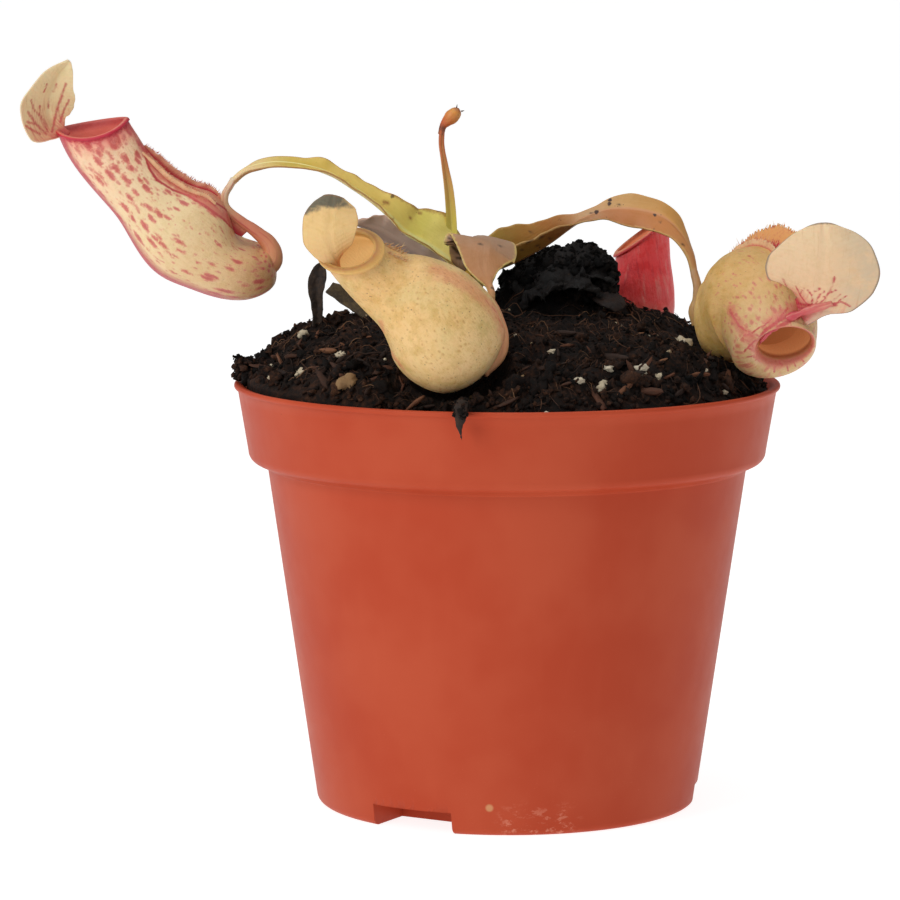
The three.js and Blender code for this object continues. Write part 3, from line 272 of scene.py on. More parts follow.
LEAF_REAR = dict(
    spine=[(-8.4, 3, 112.6), (-4.4, 8.6, 119), (-0.6, 13.4, 122), (4, 18.4, 120), (8.6, 21.6, 116),
           (14.6, 24.4, 112.4)],
    face=[[0, (-0.3, -0.5, 0.8)], [0.5, (0, 0, 1)], [1, (0.4, 0.3, 0.8)]],
    **even([(0, 1.4), (0.25, 4), (0.55, 4), (0.8, 1.6), (0.9, 0.9), (1, 0.9)], 14),
    thickness=[(0, 1), (0.7, 0.8), (0.9, 1.6), (1, 1.6)],
    round=[(0, 0), (0.75, 0), (0.9, 1), (1, 1)],
    wave=[(0, 0), (0.4, 0.4), (0.8, 0), (1, 0)],
)
LEAF_BASAL = dict(
    spine=[(-9.8, -1.6, 113.4), (-10, -5, 117), (-9.8, -8.6, 118.8), (-8.6, -12, 118.6)],
    face=[[0, (0.1, -0.2, 1)], [1, (0.1, -0.8, 0.6)]],
    **even([(0, 1.4), (0.5, 3.2), (1, 1)], 14),
)
LID_LEFT = dict(
    spine=[(-96.6, -3.6, 148.8), (-98.6, -3.4, 149.9), (-100.5, -3.2, 152), (-101, -3.2, 156.2),
           (-99.5, -3.4, 160.8), (-96.2, -3.6, 165.3)],
    face=[[0, (0.7, -0.7, 0)], [0.3, (0.6, -0.8, 0)], [1, (0.6, -0.8, 0)]],
    left=[(0, 0.9), (0.06, 1.1), (0.12, 3.4), (0.23, 7.9), (0.45, 8.7), (0.62, 6.1), (0.8, 3.8),
          (0.94, 1.8), (1, 0.8)],
    right=[(0, 0.9), (0.08, 1.1), (0.14, 2.2), (0.23, 3.6), (0.35, 4.9), (0.5, 5.9), (0.62, 5.9),
           (0.8, 4.3), (0.94, 2.2), (1, 0.8)],
    fold_left=16, fold_right=20,
    lobes=[(0, 0), (0.12, 0.2), (0.23, 0.5), (0.5, 0.8), (1, 0.4)],
)
LID_FRONT = dict(
    spine=[(-35.9, -51.4, 123.4), (-36.6, -53, 125.2), (-37.4, -55, 128), (-37.9, -56.8, 131.9),
           (-37.8, -57.6, 135.8), (-37.2, -57.6, 139.6)],
    face=[[0, (0.4, -0.6, 0.7)], [0.35, (0.1, -1, 0.1)], [1, (0, -1, -0.1)]],
    left=[(0, 1.4), (0.16, 1.8), (0.34, 4.3), (0.5, 5.7), (0.72, 5.5), (0.9, 3.7), (1, 1.8)],
    right=[(0, 1.4), (0.16, 2.8), (0.34, 4.6), (0.5, 5.5), (0.72, 6.2), (0.9, 5.5), (1, 2.6)],
    fold_left=-10, fold_right=-10,
    lobes=[(0, 0), (0.3, 0.6), (0.6, 0.6), (1, 0.4)],
)
LID_RIGHT = dict(
    spine=[(63, -29.2, 111.6), (64.6, -30.8, 113.4), (66.2, -32.2, 116.6), (67.1, -32.6, 121.2),
           (67.6, -31.8, 126.2), (67.4, -30.6, 131.7)],
    face=[[0, (0, -0.9, 0.5)], [0.3, (0, -1, 0.2)], [1, (0, -1, 0.2)]],
    left=[(0, 4), (0.1, 4.2), (0.2, 6), (0.3, 9.6), (0.44, 11.7), (0.55, 12.3), (0.66, 12.1), (0.78, 10.9),
          (0.92, 7.5), (1, 3.4)],
    right=[(0, 2.6), (0.1, 3), (0.2, 4.4), (0.3, 8.6), (0.45, 11.9), (0.6, 12.6), (0.78, 10.7), (0.92, 7),
           (1, 3)],
    fold_left=-8, fold_right=-8,
    lobes=[(0, 0), (0.14, 0.2), (0.3, 1), (0.6, 1), (1, 0.6)],
)
LID_REAR = dict(
    spine=[(36.8, 32.6, 124.2), (38, 33.4, 125.8), (37, 32.6, 127.4), (33.4, 31, 128.2),
           (28.6, 29.4, 128.4), (24.6, 28.4, 127.8)],
    face=[[0, (0.8, 0.4, -0.2)], [0.3, (0.3, 0.2, 0.9)], [1, (-0.1, 0, 1)]],
    **even([(0, 1.6), (0.25, 3), (0.55, 5.6), (0.8, 4.8), (1, 1.4)], -8),
)
WITHERED_BLACK = dict(
    spine=[(-0.6, 11.6, 115.6), (4, 11, 119.6), (10, 10.2, 122.4), (16.4, 9.8, 123.2), (21.6, 9.4, 121.4),
           (24.2, 9, 117.6)],
    face=[[0, (-0.4, 0, 0.9)], [0.5, (0, 0, 1)], [1, (0.8, 0, 0.6)]],
    left=[(0, 4), (0.3, 7), (0.75, 7), (1, 4)],
    right=[(0, 4), (0.3, 7.6), (0.75, 7.6), (1, 4)],
    fold_left=[(0, -30), (0.55, -30), (1, -4)],
    fold_right=[(0, -34), (0.55, -34), (1, -4)],
    thickness=1.2, wave=0.7, waves=4,
)
WITHERED_OVAL = dict(
    spine=[(19.4, 4.4, 113.6), (21.6, 2.8, 113), (24, 2, 112), (26, 2, 110.4)],
    face=[[0, (0, -0.6, 0.8)], [1, (0.3, -0.6, 0.8)]],
    **even([(0, 1.6), (0.5, 3), (0.85, 2.6), (1, 1.2)], -12),
    thickness=1,
)
WITHERED_UPRIGHT = dict(
    spine=[(-42.3, -3, 106.6), (-42.2, -3.2, 111), (-42.2, -3.4, 115), (-41.6, -3.4, 118.6),
           (-41, -3.2, 120.9)],
    face=[[0, (0.3, -1, 0)], [1, (-0.3, -1, 0)]],
    left=[(0, 1.1), (0.4, 1.5), (0.7, 2.2), (0.88, 1.7), (1, 0.5)],
    right=[(0, 1.1), (0.4, 1.5), (0.7, 2.2), (0.88, 1.7), (1, 0.5)],
    fold_left=30, fold_right=24, thickness=1,
)
WITHERED_OLIVE = dict(
    spine=[(-39.6, 3, 114.6), (-36.4, 1.8, 113), (-33.4, 0.4, 111.2), (-30.4, -1, 109)],
    face=[[0, (0.3, -0.9, 0.4)], [1, (0.3, -0.8, 0.5)]],
    **even([(0, 1.4), (0.5, 2.4), (1, 2)], 14),
    thickness=1,
)
STEM = dict(
    spine=[(-9, 1.5, 92), (-9.2, 1.4, 101), (-9.8, 1, 110), (-10.6, 0.4, 119.4)],
    radius=[(0, 1.6), (0.4, 2.3), (0.9, 2.3), (1, 1.2)],
)
PEAT_STRAND = dict(
    spine=[(-9.4, -56.6, 95.6), (-10, -59.4, 95.9), (-10.4, -61.6, 95), (-10.6, -62.3, 92),
           (-10.2, -61.9, 88.6)],
    radius=[(0, 1), (0.45, 1.3), (0.66, 1.15), (0.76, 0.5), (0.82, 0.26), (1, 0.14)],
)
RIDGE = dict(
    spine=[(69.4, -32.2, 114.5), (64.6, -31.4, 113), (60.8, -30.6, 111.3), (57.4, -29.8, 109.2),
           (55.2, -29, 107.2), (54, -28.4, 105)],
    radius=[(0, 0.4), (0.2, 0.8), (0.6, 0.75), (1, 0.3)],
)
WEB_LOW = [
    (-65.2, -4.4, 135.4), (-63.4, -4.4, 131.8), (-61.8, -4.3, 129.2), (-59.8, -4.3, 127.2),
    (-58.6, -4.3, 126.6),
]
WEB_HIGH = [
    (-62.8, -4.8, 135.8), (-60.9, -4.8, 132.7), (-58.6, -4.8, 130.3), (-56.9, -4.8, 128.8),
    (-56.6, -4.8, 128.4),
]
# Heaps in the compost: x, y, height and spread
HEAPS = [
    [3, 11, 6.5, 7], [12, 11.5, 9, 8], [20, 10.6, 7.5, 6], [-12, -47, -3, 13], [-38, 4, 1.6, 9],
    [34, 14, 2, 10], [-12, 26, 2.4, 14], [0, -22, 1.2, 10],
]

# Across the lip from the outer wall to the inner one: place, then share of the flare, offset,
# height and share of the drop
LIP = [
    (0, (0, 0, 0, 0)), (0.12, (0.45, 0, -0.12, 1)), (0.28, (0.95, 0, -0.02, 1)), (0.42, (1.04, 0, 0.32, 1)),
    (0.56, (0.9, 0, 0.74, 1)), (0.7, (0.5, 0, 1.06, 0.7)), (0.82, (0.1, -0.1, 1.16, 0.2)),
    (0.92, (0, -0.55, 0.9, 0)), (1, (0, -0.8, 0.3, 0)),
]

# Colours, as (place, colour) from foot to tip or from the lip's outer edge to its inner one. After a
# single colour come the place where it starts, or its size, and how strongly it shows.
BARK_COLOURS = [(0.1, (18, 11, 8)), (0.42, (46, 29, 20)), (0.7, (92, 55, 37)), (0.92, (134, 92, 62))]
PEBBLE_COLOURS = [
    (0.1, (112, 84, 56)), (0.36, (146, 116, 80)), (0.56, (176, 160, 130)), (0.95, (214, 206, 188)),
]
FIBRE_COLOURS = [(0.1, (22, 13, 9)), (0.45, (50, 31, 21)), (0.72, (92, 61, 41)), (0.95, (150, 116, 84))]
STEM_COLOURS = [(0, (70, 52, 30)), (0.6, (110, 92, 44)), (1, (150, 136, 62))]
BUD_COLOURS = [
    (0, (164, 92, 56)), (0.22, (112, 60, 36)), (0.34, (186, 92, 50)), (0.6, (200, 122, 60)),
    (0.86, (204, 140, 66)), (1, (150, 84, 58)),
]
LEFT_TENDRIL_COLOURS = [
    (0, (218, 196, 166)), (0.25, (210, 166, 124)), (0.42, (204, 126, 98)), (0.6, (204, 124, 94)),
    (0.8, (208, 142, 102)), (1, (210, 156, 110)),
]
FRONT_TENDRIL_COLOURS = [(0, (186, 132, 92)), (0.4, (200, 140, 98)), (1, (212, 152, 108))]
RIGHT_TENDRIL_COLOURS = [(0, (186, 146, 108)), (0.6, (190, 150, 100)), (1, (196, 154, 98))]
REAR_TENDRIL_COLOURS = [(0, (186, 110, 84)), (1, (190, 90, 80))]
RIDGE_COLOURS = [(0, (206, 120, 104)), (0.4, (192, 74, 80)), (1, (190, 62, 74))]
LEFT_LEAF_PAINT = dict(
    along=[(0, (242, 226, 134)), (0.1, (248, 232, 138)), (0.24, (226, 212, 104)), (0.4, (230, 202, 106)),
           (0.62, (218, 188, 98)), (0.78, (196, 168, 66)), (0.88, (214, 186, 120)), (1, (226, 194, 154))],
    edge=((160, 104, 56), 0.84, 0.75), rib=((236, 232, 160), 0.7), spots=0.8, mottle=0.3,
    marks_to=(150, 92, 44),
)
YOUNG_LEAF_PAINT = dict(
    along=[(0, (208, 198, 92)), (0.3, (204, 184, 82)), (0.55, (196, 150, 78)), (0.8, (188, 112, 62)),
           (1, (190, 98, 54))],
    rib=((222, 208, 120), 0.4), spots=0.7,
)
FRONT_LEAF_PAINT = dict(
    along=[(0, (150, 120, 96)), (0.3, (164, 132, 108)), (0.45, (172, 134, 104)), (0.6, (176, 124, 80)),
           (0.8, (178, 122, 74)), (1, (192, 142, 96))],
    # marks_to colours the dirt and the painted shadow that are drawn on this leaf
    edge=((214, 190, 110), 0.9, 0.8), spots=0.8, mottle=0.7, marks_to=(40, 28, 20),
)
RIGHT_LEAF_PAINT = dict(
    along=[(0, (158, 146, 54)), (0.2, (150, 116, 46)), (0.36, (168, 110, 48)), (0.5, (190, 150, 108)),
           (0.62, (196, 150, 90)), (0.78, (200, 144, 72)), (0.9, (196, 146, 88)), (1, (190, 148, 100))],
    second=[(0, (160, 150, 58)), (0.2, (128, 96, 36)), (0.36, (120, 76, 30)), (0.5, (170, 120, 78)),
            (0.62, (186, 118, 66)), (0.78, (188, 120, 60)), (0.9, (188, 130, 74)), (1, (190, 146, 98))],
    edge=((206, 168, 104), 0.9, 0.6), rib=((202, 140, 104), 0.5), spots=1, marks_to=(58, 34, 18),
)
BEHIND_LEAF_PAINT = dict(
    along=[(0, (150, 128, 92)), (0.4, (160, 136, 122)), (1, (178, 150, 132))],
    edge=((196, 160, 140), 0.9, 0.5), spots=0.3,
)
REAR_LEAF_PAINT = dict(
    along=[(0, (166, 156, 72)), (0.4, (168, 146, 70)), (0.75, (186, 140, 80)), (1, (186, 110, 84))],
    edge=((150, 96, 52), 0.84, 0.6), rib=((206, 196, 130), 0.5), spots=0.6,
)
BASAL_LEAF_PAINT = dict(
    along=[(0, (188, 168, 74)), (0.5, (208, 172, 62)), (1, (186, 140, 52))],
    edge=((150, 100, 50), 0.8, 0.5), spots=0.4,
)
LEFT_PITCHER_PAINT = dict(
    along=[(0, (206, 156, 108)), (0.2, (224, 188, 138)), (0.5, (231, 205, 158)), (0.75, (236, 204, 164)),
           (0.92, (236, 198, 162)), (1, (226, 138, 122))],
    lip=[(0, (176, 26, 52)), (0.56, (184, 32, 56)), (0.66, (200, 80, 78)), (0.76, (214, 128, 106)),
         (0.88, (200, 96, 84)), (1, (190, 78, 74))],
    inside=[(0.1, (190, 120, 84)), (0.8, (202, 108, 90)), (1, (206, 110, 96))],
    flecks=[((204, 100, 92), 1.5, 0.34, 0.85,
             [(0, 0.36), (0.22, 0.34), (0.36, 0.26), (0.5, 0.32), (0.7, 0.4), (0.85, 0.44), (1, 0.5)]),
            ((214, 132, 116), 0.9, 0.5, 0.6, [(0, 0.28), (0.4, 0.22), (0.7, 0.34), (1, 0.42)])],
    back=((176, 44, 60), 0.34, 0.95), front=((192, 66, 70), 0.12, 0.6), rim=((186, 26, 54), 0.972, 1),
    specks=0.3, mark=((176, 36, 54), 0.95), haze=((204, 88, 84), 0.75), glow=0.25,
)
FRONT_PITCHER_PAINT = dict(
    along=[(0, (208, 178, 130)), (0.2, (222, 188, 130)), (0.45, (228, 190, 128)), (0.7, (229, 188, 124)),
           (1, (224, 180, 116))],
    lip=[(0, (196, 84, 72)), (0.14, (206, 132, 92)), (0.3, (206, 160, 92)), (0.5, (214, 170, 98)),
         (0.64, (196, 148, 78)), (0.78, (168, 112, 52)), (0.9, (206, 164, 96)), (1, (202, 160, 94))],
    # Inside, the darker colour at 0.93, just below the rim, is painted shade under the far rim
    inside=[(0.1, (196, 160, 104)), (0.6, (212, 180, 122)), (0.84, (224, 196, 140)),
            (0.93, (204, 166, 106)), (1, (222, 190, 130))],
    clouds=((210, 192, 130), 0.4), specks=0.9,
    streaks=[((216, 156, 108), 1.2, 0.55, 0.75, 0.35, 3)],
    flecks=[((204, 160, 98), 0.8, 0.8, 0.6, [(0, 0.3), (0.5, 0.28), (1, 0.24)])],
    mark=((186, 74, 68), 0.85), haze=((214, 128, 96), 0.5), glow=0.36, stain=0.9, core=(160, 116, 66),
)
RIGHT_PITCHER_PAINT = dict(
    # The light colours at the bulb, from 0 to 0.2, are painted light that brightens the shade falling on
    # the bulb's side
    along=[(0, (234, 196, 128)), (0.2, (232, 192, 122)), (0.45, (214, 172, 106)), (0.7, (214, 172, 112)),
           (0.86, (214, 176, 122)), (1, (214, 178, 132))],
    lip=[(0, (216, 178, 136)), (0.6, (214, 166, 126)), (0.78, (204, 120, 98)), (0.88, (188, 100, 78)),
         (0.95, (178, 110, 70)), (1, (172, 104, 64))],
    inside=[(0.1, (150, 92, 52)), (0.8, (176, 114, 70)), (1, (190, 128, 82))],
    clouds=((200, 166, 92), 0.45), specks=0.9, stain=0.7, lip_from=(0.6, 0.85),
    flecks=[((208, 116, 102), 0.9, 0.4, 0.6, [(0, 0), (0.4, 0.1), (0.66, 0.24), (0.8, 0.34), (1, 0.4)])],
    streaks=[((212, 120, 104), 0.7, 0.62, 0.74, 0.35, 3)],
    mark=((188, 58, 70), 0.85), haze=((208, 104, 100), 0.6), groove=((198, 88, 86), 0.8, 0.8), glow=0.42,
)
REAR_PITCHER_PAINT = dict(
    along=[(0, (238, 160, 132)), (0.16, (242, 118, 106)), (0.4, (242, 76, 76)), (0.75, (240, 66, 70)),
           (1, (238, 76, 76))],
    lip=[(0, (200, 50, 58)), (0.5, (204, 60, 62)), (0.66, (214, 132, 96)), (1, (208, 134, 96))],
    inside=[(0.1, (170, 80, 60)), (0.8, (206, 126, 88)), (1, (214, 144, 104))],
    streaks=[((232, 140, 130), 1.1, 0.5, 0.7, 0.6, 3), ((176, 28, 46), 0.9, 0.5, 0.7, 0.5, 7)],
    glow=0.4,
)
LEFT_LID_PAINT = dict(
    along=[(0, (180, 62, 68)), (0.1, (196, 96, 88)), (0.18, (222, 172, 132)), (0.34, (233, 206, 158)),
           (1, (238, 218, 170))],
    veins=(198, 92, 84), reach=0.55, much=0.7, edge=((226, 204, 170), 0.7), mark=((190, 66, 70), 0.8),
)
FRONT_LID_PAINT = dict(
    along=[(0, (214, 150, 110)), (0.2, (222, 180, 122)), (0.6, (228, 192, 130)), (1, (220, 184, 126))],
    veins=(206, 120, 90), reach=0.25, much=0.5, edge=((150, 110, 76), 0.5),
    patch=((84, 84, 72), 0.83, 0.92),
)
RIGHT_LID_PAINT = dict(
    along=[(0, (196, 84, 88)), (0.1, (210, 130, 112)), (0.26, (228, 190, 150)), (1, (230, 202, 162))],
    veins=(204, 96, 96), reach=0.3, much=0.6, edge=((118, 106, 92), 0.8), specks=0.9,
    grey=((196, 182, 156), 0.1, 0.9, 0.6), mark=((186, 48, 66), 0.9),
)
REAR_LID_PAINT = dict(
    along=[(0, (190, 80, 80)), (0.4, (206, 120, 100)), (1, (214, 150, 116))],
    veins=(176, 56, 64), reach=0.9, much=0.8,
)

# Lines, scars and stains in the camera's pixels, and on the front leaf a painted shadow: width in
# millimetres, then the pixels they run through
LEFT_LEAF_MARKS = [
    (0.4, [(384, 202), (388, 203)]), (0.25, [(409, 218), (411, 218)]), (0.25, [(391, 219), (393, 219)]),
    (0.3, [(419, 213), (421, 213)]),
]
# On the front leaf the first two lines are a painted shadow on its left half; the others are dark dirt and
# specks
FRONT_LEAF_DIRT_AND_SHADOW = [
    (0.5, [(452, 246), (456, 250), (460, 254)]), (0.35, [(457, 258), (461, 258)]),
    (0.4, [(449, 238), (452, 240)]), (0.3, [(480, 244), (481, 244)]), (0.25, [(500, 246), (502, 246)]),
]
RIGHT_LEAF_MARKS = [
    (0.3, [(527, 243), (532, 240)]), (0.25, [(521, 250), (523, 250)]), (0.3, [(540, 238), (543, 236)]),
    (0.25, [(536, 246), (539, 245)]), (0.25, [(549, 238), (551, 239)]), (0.22, [(530, 232), (532, 232)]),
    (0.2, [(590, 213), (592, 213)]), (0.22, [(618, 204), (620, 205)]), (0.22, [(682, 244), (684, 245)]),
    (0.2, [(660, 222), (661, 222)]),
]
LEFT_CUP_LINES = [
    (0.42, [(146, 150), (151, 160), (158, 168), (170, 177), (189, 188), (208, 198), (224, 208), (234, 217),
            (243, 230)]),
    (0.42,
     [(145, 154), (149, 168), (157, 180), (173, 190), (189, 196), (205, 206), (222, 218), (236, 232)]),
    (0.3, [(150, 156), (155, 168), (166, 177)]),
]
LEFT_CUP_HAZE = [
    (1.7, [(145, 151), (152, 164), (163, 177), (184, 190), (208, 204), (230, 220), (243, 234)]),
]
FRONT_CUP_LINES = [
    (0.4, [(336, 267), (346, 270), (356, 270), (368, 266), (377, 260), (384, 252)]),
    (0.25, [(379, 326), (384, 340), (391, 354), (400, 366)]), (0.25, [(328, 268), (338, 282), (350, 296)]),
    (0.3, [(486, 300), (496, 312), (503, 328)]),
]
FRONT_CUP_HAZE = [
    (2.6, [(440, 271), (460, 282), (478, 294), (492, 306), (501, 322), (505, 340)]),
    (0.9, [(381, 322), (384, 338), (392, 354), (402, 367)]),
]
RIGHT_CUP_LINES = [
    (0.7, [(833, 304), (810, 311), (792, 319), (777, 329), (766, 339), (759, 350)]),
    (0.5, [(796, 312), (780, 320), (766, 330), (757, 342)]), (0.35, [(730, 310), (733, 317), (738, 325)]),
    (0.25, [(738, 325), (746, 331)]), (0.3, [(776, 322), (788, 308)]),
    (0.3, [(759, 350), (764, 358), (768, 362)]), (0.25, [(752, 345), (757, 352), (756, 360)]),
    (0.25, [(772, 360), (775, 366), (774, 372)]), (0.22, [(786, 362), (788, 371)]),
    (0.22, [(800, 356), (805, 364)]), (0.22, [(764, 326), (772, 318)]), (0.22, [(752, 333), (760, 327)]),
    (0.3, [(748, 348), (755, 351), (762, 349)]), (0.3, [(764, 346), (766, 354), (763, 360)]),
    (0.25, [(746, 357), (753, 356), (760, 361)]), (0.25, [(780, 359), (782, 366)]),
    (0.2, [(793, 360), (796, 368)]), (0.25, [(756, 340), (750, 345), (744, 352)]),
    (0.4, [(704, 250), (706, 251)]), (0.25, [(749, 255), (750, 258)]),
]
RIGHT_CUP_HAZE = [
    (2, [(752, 340), (762, 352), (776, 362)]), (1.6, [(770, 322), (786, 312), (800, 306)]),
    (1.4, [(730, 310), (740, 328), (752, 338)]),
]
LEFT_LID_LINES = [
    (0.4, [(46, 134), (36, 124), (28, 112)]), (0.35, [(36, 124), (27, 122)]),
    (0.35, [(48, 132), (42, 118), (40, 106)]), (0.3, [(42, 118), (34, 110), (31, 100)]),
    (0.35, [(52, 132), (55, 118), (58, 106), (62, 96)]), (0.3, [(58, 106), (62, 94), (66, 84)]),
    (0.3, [(60, 122), (64, 110), (69, 100)]), (0.35, [(40, 134), (32, 130), (26, 126)]),
    (0.25, [(48, 108), (50, 98)]), (0.25, [(44, 92), (47, 84)]), (0.25, [(54, 92), (57, 84)]),
]
RIGHT_LID_LINES = [
    (0.4, [(786, 302), (800, 304), (818, 306), (836, 305)]), (0.3, [(792, 306), (806, 309), (822, 309)]),
    (0.22, [(800, 304), (793, 296), (787, 288), (783, 279)]), (0.18, [(793, 296), (786, 296), (781, 290)]),
    (0.2, [(797, 300), (790, 301), (784, 297)]), (0.2, [(806, 303), (800, 295), (796, 286)]),
    (0.16, [(800, 295), (803, 288)]), (0.22, [(812, 304), (812, 296), (808, 290)]),
    (0.16, [(812, 296), (815, 291)]), (0.22, [(820, 304), (828, 294), (832, 284), (835, 277)]),
    (0.18, [(828, 294), (836, 290)]), (0.2, [(816, 304), (820, 294), (819, 288)]),
    (0.16, [(824, 299), (824, 290)]), (0.25, [(830, 304), (842, 302), (850, 306)]),
    (0.18, [(836, 303), (846, 296)]), (0.18, [(834, 300), (840, 294)]),
]

# Pebbles and bark seen in the compost: x, y, three half sizes, turn in degrees and tint
STONES = [
    (-33.9, -42, 2.5, 2, 1.8, 20, 0.16), (-45, -8.2, 1.35, 1.3, 1.2, 0, 0.75),
    (-36.3, -32.3, 1.2, 0.9, 0.9, 40, 0.8), (-45.1, -27.9, 1.1, 1.2, 0.9, 80, 0.75),
    (38, -15.2, 2, 1.7, 1.7, 10, 0.7), (28.2, -42.3, 1.5, 1.3, 1.3, 30, 0.9),
    (31.4, -40.8, 1.1, 1.4, 1.2, 60, 0.7), (19.7, -48.6, 1.5, 1.4, 1.3, 20, 0.72),
    (20.4, -44.7, 1.8, 0.7, 0.7, 15, 0.9), (1.5, -31.8, 0.6, 0.5, 0.5, 0, 0.9),
    (9, -41.3, 0.7, 0.6, 0.6, 30, 0.8), (42.1, -28.7, 1, 0.8, 0.8, 45, 0.85),
    (46.5, -30.5, 0.8, 0.7, 0.7, 5, 0.8), (36.5, -36, 0.8, 0.6, 0.6, 5, 0.8),
    (-52, -14, 0.7, 0.7, 0.6, 25, 0.85), (14.6, -50.4, 0.9, 0.7, 0.7, 0, 0.85),
]
STICKS = [
    (-39.5, -31.9, 0.9, 2.9, 0.7, 12, 0.85), (-39, -26.3, 2.2, 0.7, 0.6, -24, 0.95),
    (22.8, -43.9, 2.3, 0.75, 0.6, 38, 0.62), (29.7, -45.2, 3.2, 1.4, 0.9, -6, 0.6),
    (22.5, -38, 3.6, 1.2, 0.8, -38, 0.3), (-41.8, -29.3, 2.2, 0.5, 0.5, -50, 0.55),
    (-28, -40, 2.4, 0.9, 0.6, 70, 0.4), (8, -46, 2.4, 1, 0.7, 20, 0.35), (47, -22, 2.2, 1, 0.7, 60, 0.4),
    (12, -30, 2.8, 1, 0.7, -20, 0.3), (-47, -20, 1.9, 0.8, 0.5, 30, 0.5), (-20, 34, 2.4, 1.2, 0.9, 20, 0.5),
    (6, 42, 2, 1.5, 1, 60, 0.4), (-38, 24, 2.8, 1.1, 0.8, -30, 0.6), (24, 40, 2.4, 1, 0.7, 10, 0.7),
    (-6, 52, 1.8, 0.8, 0.6, 80, 0.8),
]

# The camera, in millimetres, and two places that paints refer to
EYE = np.array([-12.67, -1000.0, 205.0])
PITCH = math.radians(7.2)
FOCAL = 4527.0
IMAGE = 900
SENSOR = 36
FORWARD = np.array([0, math.cos(PITCH), -math.sin(PITCH)])
UPWARD = np.array([0, math.sin(PITCH), math.cos(PITCH)])
BLACK_MASS = (7, 4, 117)  # the middle of the dark heap behind the rosette
GATE = (-4.2, -43.1, 6.4)  # the small pale mark on the pot's foot


# Curves and values

def hermite(t, start, start_slope, end, end_slope):
    return ((2 * t**3 - 3 * t**2 + 1) * start + (t**3 - 2 * t**2 + t) * start_slope
            + (3 * t**2 - 2 * t**3) * end + (t**3 - t**2) * end_slope)


def unit(v):
    return v / np.linalg.norm(v, axis=-1, keepdims=True)


def smooth(t):
    t = np.clip(t, 0, 1)
    return t * t * (3 - 2 * t)


class Path:
    """A centripetal curve through points, measured by its length."""

    def __init__(self, points):
        p = np.array(points, float)
        ends = np.vstack([2 * p[0] - p[1], p, 2 * p[-1] - p[-2]])
        pieces = []
        for i in range(len(p) - 1):
            p0, p1, p2, p3 = ends[i:i + 4]
            d0, d1, d2 = [np.linalg.norm(b - a) ** 0.5 for a, b in ((p0, p1), (p1, p2), (p2, p3))]
            m1 = ((p1 - p0) / d0 - (p2 - p0) / (d0 + d1) + (p2 - p1) / d1) * d1
            m2 = ((p2 - p1) / d1 - (p3 - p1) / (d1 + d2) + (p3 - p2) / d2) * d1
            t = np.linspace(0, 1, 40, endpoint=i == len(p) - 2)[:, None]
            pieces.append(hermite(t, p1, m1, p2, m2))
        self.points = np.vstack(pieces)
        self.reach = np.append(0, np.cumsum(np.linalg.norm(np.diff(self.points, axis=0), axis=1)))
        self.length = self.reach[-1]

    def at(self, s):
        d = np.clip(s, 0, 1) * self.length
        return np.stack([np.interp(d, self.reach, self.points[:, k]) for k in range(3)], -1)

    def tangent(self, s, step=0.012):
        return unit(self.at(np.minimum(s + step, 1)) - self.at(np.maximum(s - step, 0)))


def values(stops, s):
    """Reads stops of (place, value) at s with a smooth curve that never overshoots."""
    s = np.asarray(s, float)
    if not isinstance(stops, (list, tuple)):
        return np.full(s.shape, float(stops))
    x = np.array([a for a, _ in stops], float)
    y = np.array([b for _, b in stops], float).reshape(len(x), -1)
    h = np.diff(x)[:, None]
    d = np.diff(y, axis=0) / h
    m = np.zeros_like(y)
    m[0], m[-1] = d[0], d[-1]
    if len(x) > 2:
        a, b = d[:-1], d[1:]
        same = a * b > 0
        w1, w2 = 2 * h[1:] + h[:-1], h[1:] + 2 * h[:-1]
        safe_a, safe_b = np.where(same, a, 1), np.where(same, b, 1)
        m[1:-1] = np.where(same, (w1 + w2) / (w1 / safe_a + w2 / safe_b), 0)
    i = np.clip(np.searchsorted(x, s, "right") - 1, 0, len(x) - 2)
    t = np.clip((s - x[i]) / h[i, 0], 0, 1)[..., None]
    out = hermite(t, y[i], h[i] * m[i], y[i + 1], h[i] * m[i + 1])
    return out[..., 0] if out.shape[-1] == 1 else out


def frames(path, face, s):
    """Centre, tangent, facing direction and sideways direction along a path."""
    tangent = path.tangent(s)
    up = values(face, s)
    up = unit(up - (up * tangent).sum(-1, keepdims=True) * tangent)
    return path.at(s), tangent, up, np.cross(tangent, up)


def lattice(i, seed):
    h = i[..., 0] * 374761393 + i[..., 1] * 668265263 + i[..., 2] * 1440662683 + seed * 1274126177
    h = (h ^ (h >> 13)) * 1103515245
    return ((h ^ (h >> 16)) & 0xFFFF) / 32767.5 - 1


def noise(p, seed=0):
    """Smooth noise from -1 to 1 at points p."""
    i = np.floor(p).astype(np.int64)
    f = smooth(p - i)
    total = np.zeros(p.shape[:-1])
    for corner in np.ndindex(2, 2, 2):
        c = np.array(corner)
        total += np.prod(np.where(c, f, 1 - f), axis=-1) * lattice(i + c, seed)
    return total


def fractal(p, size, octaves=3, seed=0):
    """Noise of the given feature size in millimetres, with finer octaves on top."""
    return sum(noise(p / size * 2**k, seed + 31 * k) / 2**k for k in range(octaves))


# Meshes

def grid_faces(rows, sides):
    i, j = np.meshgrid(np.arange(rows - 1), np.arange(sides), indexing="ij")
    a, b = i * sides + j, i * sides + (j + 1) % sides
    return np.stack([a, b, b + sides, a + sides], -1).reshape(-1, 4)


def cap_faces(sides, start, flip=False):
    j = np.arange(sides // 2 - 1)
    quads = start + np.stack([j, j + 1, sides - 2 - j, sides - 1 - j], -1)
    return quads if flip else quads[:, ::-1]


